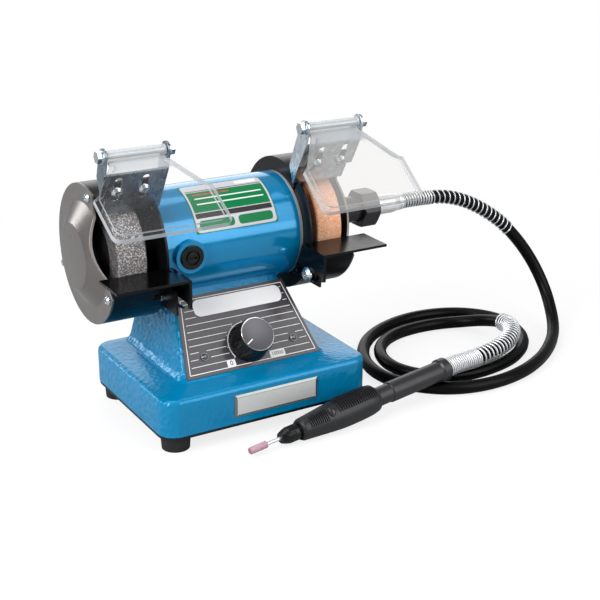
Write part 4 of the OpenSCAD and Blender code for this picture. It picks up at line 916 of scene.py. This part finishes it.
def addKnob(k):
    place = onPanel @ Matrix.Translation((0, panel["knobUp"], 0))
    bm = bmesh.new()
    face, rim, skirt, flare = k["face"], k["rim"], k["skirt"], k["flare"]
    shaft, low, gap, high = k["shaft"], -k["sunk"], k["gap"], k["height"]
    shell = turn(bm, [
        (0, low), (shaft, low), (shaft, gap), (6.5, gap), (flare - 0.4, gap), (flare, 1.0),
        (flare - 0.3, 2.4), (skirt, 4.2), (skirt - 0.2, 9), (rim, high - 2.2), (rim - 0.2, high - 1.2),
        (face, high - 0.6), (face - 0.5, high - 0.5), (0, high - 0.5)], k["ribs"] * 4)
    for vert in shell:
        if k["ribsFrom"] < vert.co.z < high - k["ribsShort"] and vert.co.xy.length > k["wall"]:
            wave = math.cos(k["ribs"] * math.atan2(vert.co.y, vert.co.x))
            vert.co.xy *= 1 - k["ribDepth"] * (0.5 - 0.5 * wave) / vert.co.xy.length
    finishPiece("knob_body", bm, "blackPlastic", "knob", ["speed_knob"], 50, place=place)
    bm = bmesh.new()
    top = high - 0.52
    turn(bm, [(0, top), (face - 0.2, top), (face - 0.2, top + 0.15), (face - 0.45, top + 0.3),
              (face - 0.8, top + 0.12), (0, top + 0.12)], 96)
    for part in bm.faces:
        part.material_index = int(part.calc_center_median().xy.length > face - 0.9)
    finishPiece("knob_face", bm, ["knobFace", "knobRim"], "knob", place=place)
    bm = bmesh.new()
    pointer = Matrix.Rotation(math.radians(k["pointerTurn"]), 4, "Z")
    pointer @= Matrix.Translation((k["pointerOut"], 0, top + 0.16))
    block(bm, k["pointer"], place @ pointer)
    finishPiece("knob_pointer", bm, "printWhite", "knob")


addKnob(knob)
print("panel printed")


# centre is along the base's front and up it, and each layer is (how far out, inset)
plate = {"centre": (3.5, 25), "width": 63, "height": 15.5, "corner": 0.5,
         "layers": ((0, 0), (0.35, 0), (1.15, 1.5), (1.2, 1.8))}


def addNamePlate(p):
    bm = bmesh.new()
    x, z = p["centre"]
    place = Matrix.Translation((x, -casting["depth"] / 2, z)) @ Matrix.Rotation(math.radians(90), 4, "X")
    wide, tall = p["width"] / 2, p["height"] / 2
    loft(bm, [roundedRing(inset - wide, wide - inset, inset - tall, tall - inset, p["corner"], out, 4, 1)
              for out, inset in p["layers"]])
    for face in bm.faces:
        face.material_index = int(face.normal.z < 0.99)  # all but the flat front
    finishPiece("plate_bevelled", bm, ["plateSilver", "plateEdge"], "root", ["name_plate"],
                sharp=12, place=place)


label = {"radius": 37.5, "sunk": 0.03, "step": 1.5, "patches": [
    # finish, left and right along the barrel, low and high in degrees up from the front, corner, lift
    ("printGrey", -26.4, 33.4, 20.8, 80.2, 2.5, 0.03),
    ("printGreen", -25, 32, 42, 68, 0.6, 0.06),
    ("printBlack", -25, 32, 35.5, 41, 0.3, 0.06),
    ("printBlack", -25, 32, 69.2, 70.2, 0.2, 0.06),
    ("printGreen", -24, 2, 23.5, 33, 2.2, 0.06),
    ("printGreen", 5, 31, 23.5, 33, 2.2, 0.06),
    ("printWhite", -21, 29, 57.5, 59, 0.2, 0.09),
    ("printWhite", -21, 29, 50.5, 52, 0.2, 0.09),
    ("printRed", -21, 6, 63, 64.6, 0.2, 0.09),
    ("printWhite", 14, 30, 72.6, 78, 1.2, 0.06),
]}


def curvedPatch(bm, left, right, low, high, corner, lift):
    # a thin patch on the barrel with rounded corners
    rings = []
    radius, sunk = label["radius"], label["sunk"]
    arc = math.radians(high - low) * radius
    count = max(6, round((high - low) / label["step"]))
    for k in range(count + 1):
        s = arc * (1 - math.cos(math.pi * k / count)) / 2
        edge = min(s, arc - s)
        inset = corner - math.sqrt(max(0, corner ** 2 - (corner - edge) ** 2)) if edge < corner else 0
        turned = math.radians(low) + s / radius
        rings.append([spindle + Vector((x, -r * math.cos(turned), r * math.sin(turned))) for x, r in (
            (left + inset, radius - sunk), (right - inset, radius - sunk),
            (right - inset, radius + lift), (left + inset, radius + lift))])
    loft(bm, rings)


def addLabel(p):
    for k, (finish, *patch) in enumerate(p["patches"]):
        bm = bmesh.new()
        curvedPatch(bm, *patch)
        finishPiece("label_patch_" + str(k), bm, finish, sharp=40)


addNamePlate(plate)
addLabel(label)
print("plate and label made")


# slopes in degrees; faces this near the hinge are its tube, and those that turn from the sheet's own normal
# past the cosine in facing are the sheet's edges
shield = {"left": (30, "clearLeft"), "right": (38, "clearRight"), "tube": 3.8, "facing": 0.6, "edge": 0.3}


def addShield(side):
    name = side + "_shield"
    bm = fromNode(name)
    slope, clear = shield[side]
    across = Vector((0, -math.sin(math.radians(slope)), math.cos(math.radians(slope))))
    hinge = Vector(hinges[side])
    bm.normal_update()
    for face in bm.faces:
        centre = face.calc_center_median()
        reach = (Vector((centre.y, centre.z)) - hinge).length
        if reach < shield["tube"]:
            face.material_index = 2
        elif abs(face.normal.dot(across)) < shield["facing"]:
            face.material_index = 1
    body = body_of(nodes[name])[0]
    piece = finishPiece(name + "_clear", bm, [clear, "clearEdge", "clearTube"], body, [name],
                        normals=False)
    rounded(piece, shield["edge"], 35)


addShield("left")
addShield("right")
print("shields made")


# the brackets take the zinc in its painted dark and painted light tones
for kind, onLeft, onRight, width in (
        ("rest", "satinBlack", "satinBlack", 0.3), ("bracket", "zincLeft", "zincRight", 0.25),
        ("guard", "drumBlack", "drumBlack", 0.3), ("guard_cover", "coverGrey", "coverGrey", 0.45),
        ("end_bracket", "bareCasting", "bareCasting", 0.3)):
    softened("left_" + kind, onLeft, width)
    softened("right_" + kind, onRight, width)
softened("coupling_nut", "nutBlack", 0.3)
softened("brush_caps", "blackPlastic", 0.25)
bracketLean = math.radians(30)
fromBracket = (0, -math.cos(bracketLean), -math.sin(bracketLean))
# where the heads look on each side, and the recess's width and depth
for nodeName, onLeft, onRight, width, depth in (
        ("cover_screws", (-1, 0, 0), (1, 0, 0), 3.6, 0.9),
        ("rest_screws", (1, 0, 0), (-1, 0, 0), 5.6, 1.3),
        ("bracket_screws", fromBracket, fromBracket, 4.4, 1.1)):
    crossed(nodeName, {-1: onLeft, 1: onRight}, width, depth)
print("edges softened")


# metres; the camera sees the floor in its own colour and glowing white by a share, which rises from near to
# far round the object, and everything else sees the darker colour
ground = {"half": 6, "seen": (0.92, 0.92, 0.92, 1), "others": (0.4, 0.41, 0.42, 1), "middle": (0.08, 0, 0),
          "near": 0.22, "far": 0.5, "white": 0.8}
sky = {"colour": (0.96, 0.98, 1.0, 1), "strength": 0.34}


def addFloor(g):
    bm = bmesh.new()
    bmesh.ops.create_grid(bm, x_segments=1, y_segments=1, size=g["half"])
    floor = addObject("floor", meshOf("floor", bm))
    look = Finish("floorPale", {"Roughness": 0.6, "Specular IOR Level": 0.15})
    seen = look.node("LightPath", out="Is Camera Ray")
    look.feed("Base Color", look.mix(seen, g["others"], g["seen"]))
    glow = look.node("Emission")
    across, deep, _ = look.parts(look.at(shift=g["middle"]))
    away = look.soft((across * across + deep * deep).root(), g["near"], g["far"])
    white = seen * (away * (1 - g["white"]) + g["white"])
    blend = look.node("MixShader", {}, {0: white, 1: Wire(look, look.shader.outputs[0]), 2: glow})
    look.tree.links.new(blend.out, look.tree.nodes["Material Output"].inputs["Surface"])
    floor.data.materials.append(look.material)


def addWorld(s):
    # plain light from all sides, and white where the camera sees past the floor
    world = bpy.data.worlds.new("studio")
    world.use_nodes = True
    bpy.context.scene.world = world
    tree = world.node_tree
    light = tree.nodes["Background"]
    path, white, choose = (tree.nodes.new("ShaderNode" + kind)
                           for kind in ("LightPath", "Background", "MixShader"))
    light.inputs["Color"].default_value = s["colour"]
    light.inputs["Strength"].default_value = s["strength"]
    white.inputs["Color"].default_value = (1, 1, 1, 1)
    for source, socket in zip((path.outputs["Is Camera Ray"], light.outputs[0], white.outputs[0]),
                              choose.inputs):
        tree.links.new(source, socket)
    tree.links.new(choose.outputs[0], tree.nodes["World Output"].inputs["Surface"])


# name, place, what it looks at, width and height, watts
softBoxes = (
    ("left", (-900, -300, 640), (0, 0, 90), (600, 800), 13.5),
    ("above", (-80, 100, 1000), (20, 0, 60), (1100, 600), 3.4),
    ("front", (560, -900, 620), (20, 0, 120), (900, 1050), 7.5),
    ("side", (-700, 1000, 400), (-90, 0, 150), (420, 420), 3.2),
    ("back", (500, 900, 420), (60, 0, 90), (900, 600), 2.5))


def addSoftBox(name, place, aim, size, power):
    data = bpy.data.lights.new("soft_box_" + name, "AREA")
    data.shape = "RECTANGLE"
    data.size, data.size_y = (v * mm for v in size)
    data.energy = power
    lamp = addObject("soft_box_" + name, data)
    lamp.location = Vector(place) * mm
    lamp.rotation_euler = (Vector(place) - Vector(aim)).to_track_quat("Z", "Y").to_euler()


addFloor(ground)
addWorld(sky)
for box in softBoxes:
    addSoftBox(*box)
bpy.context.scene.view_settings.view_transform = "Standard"
print("stage lit")
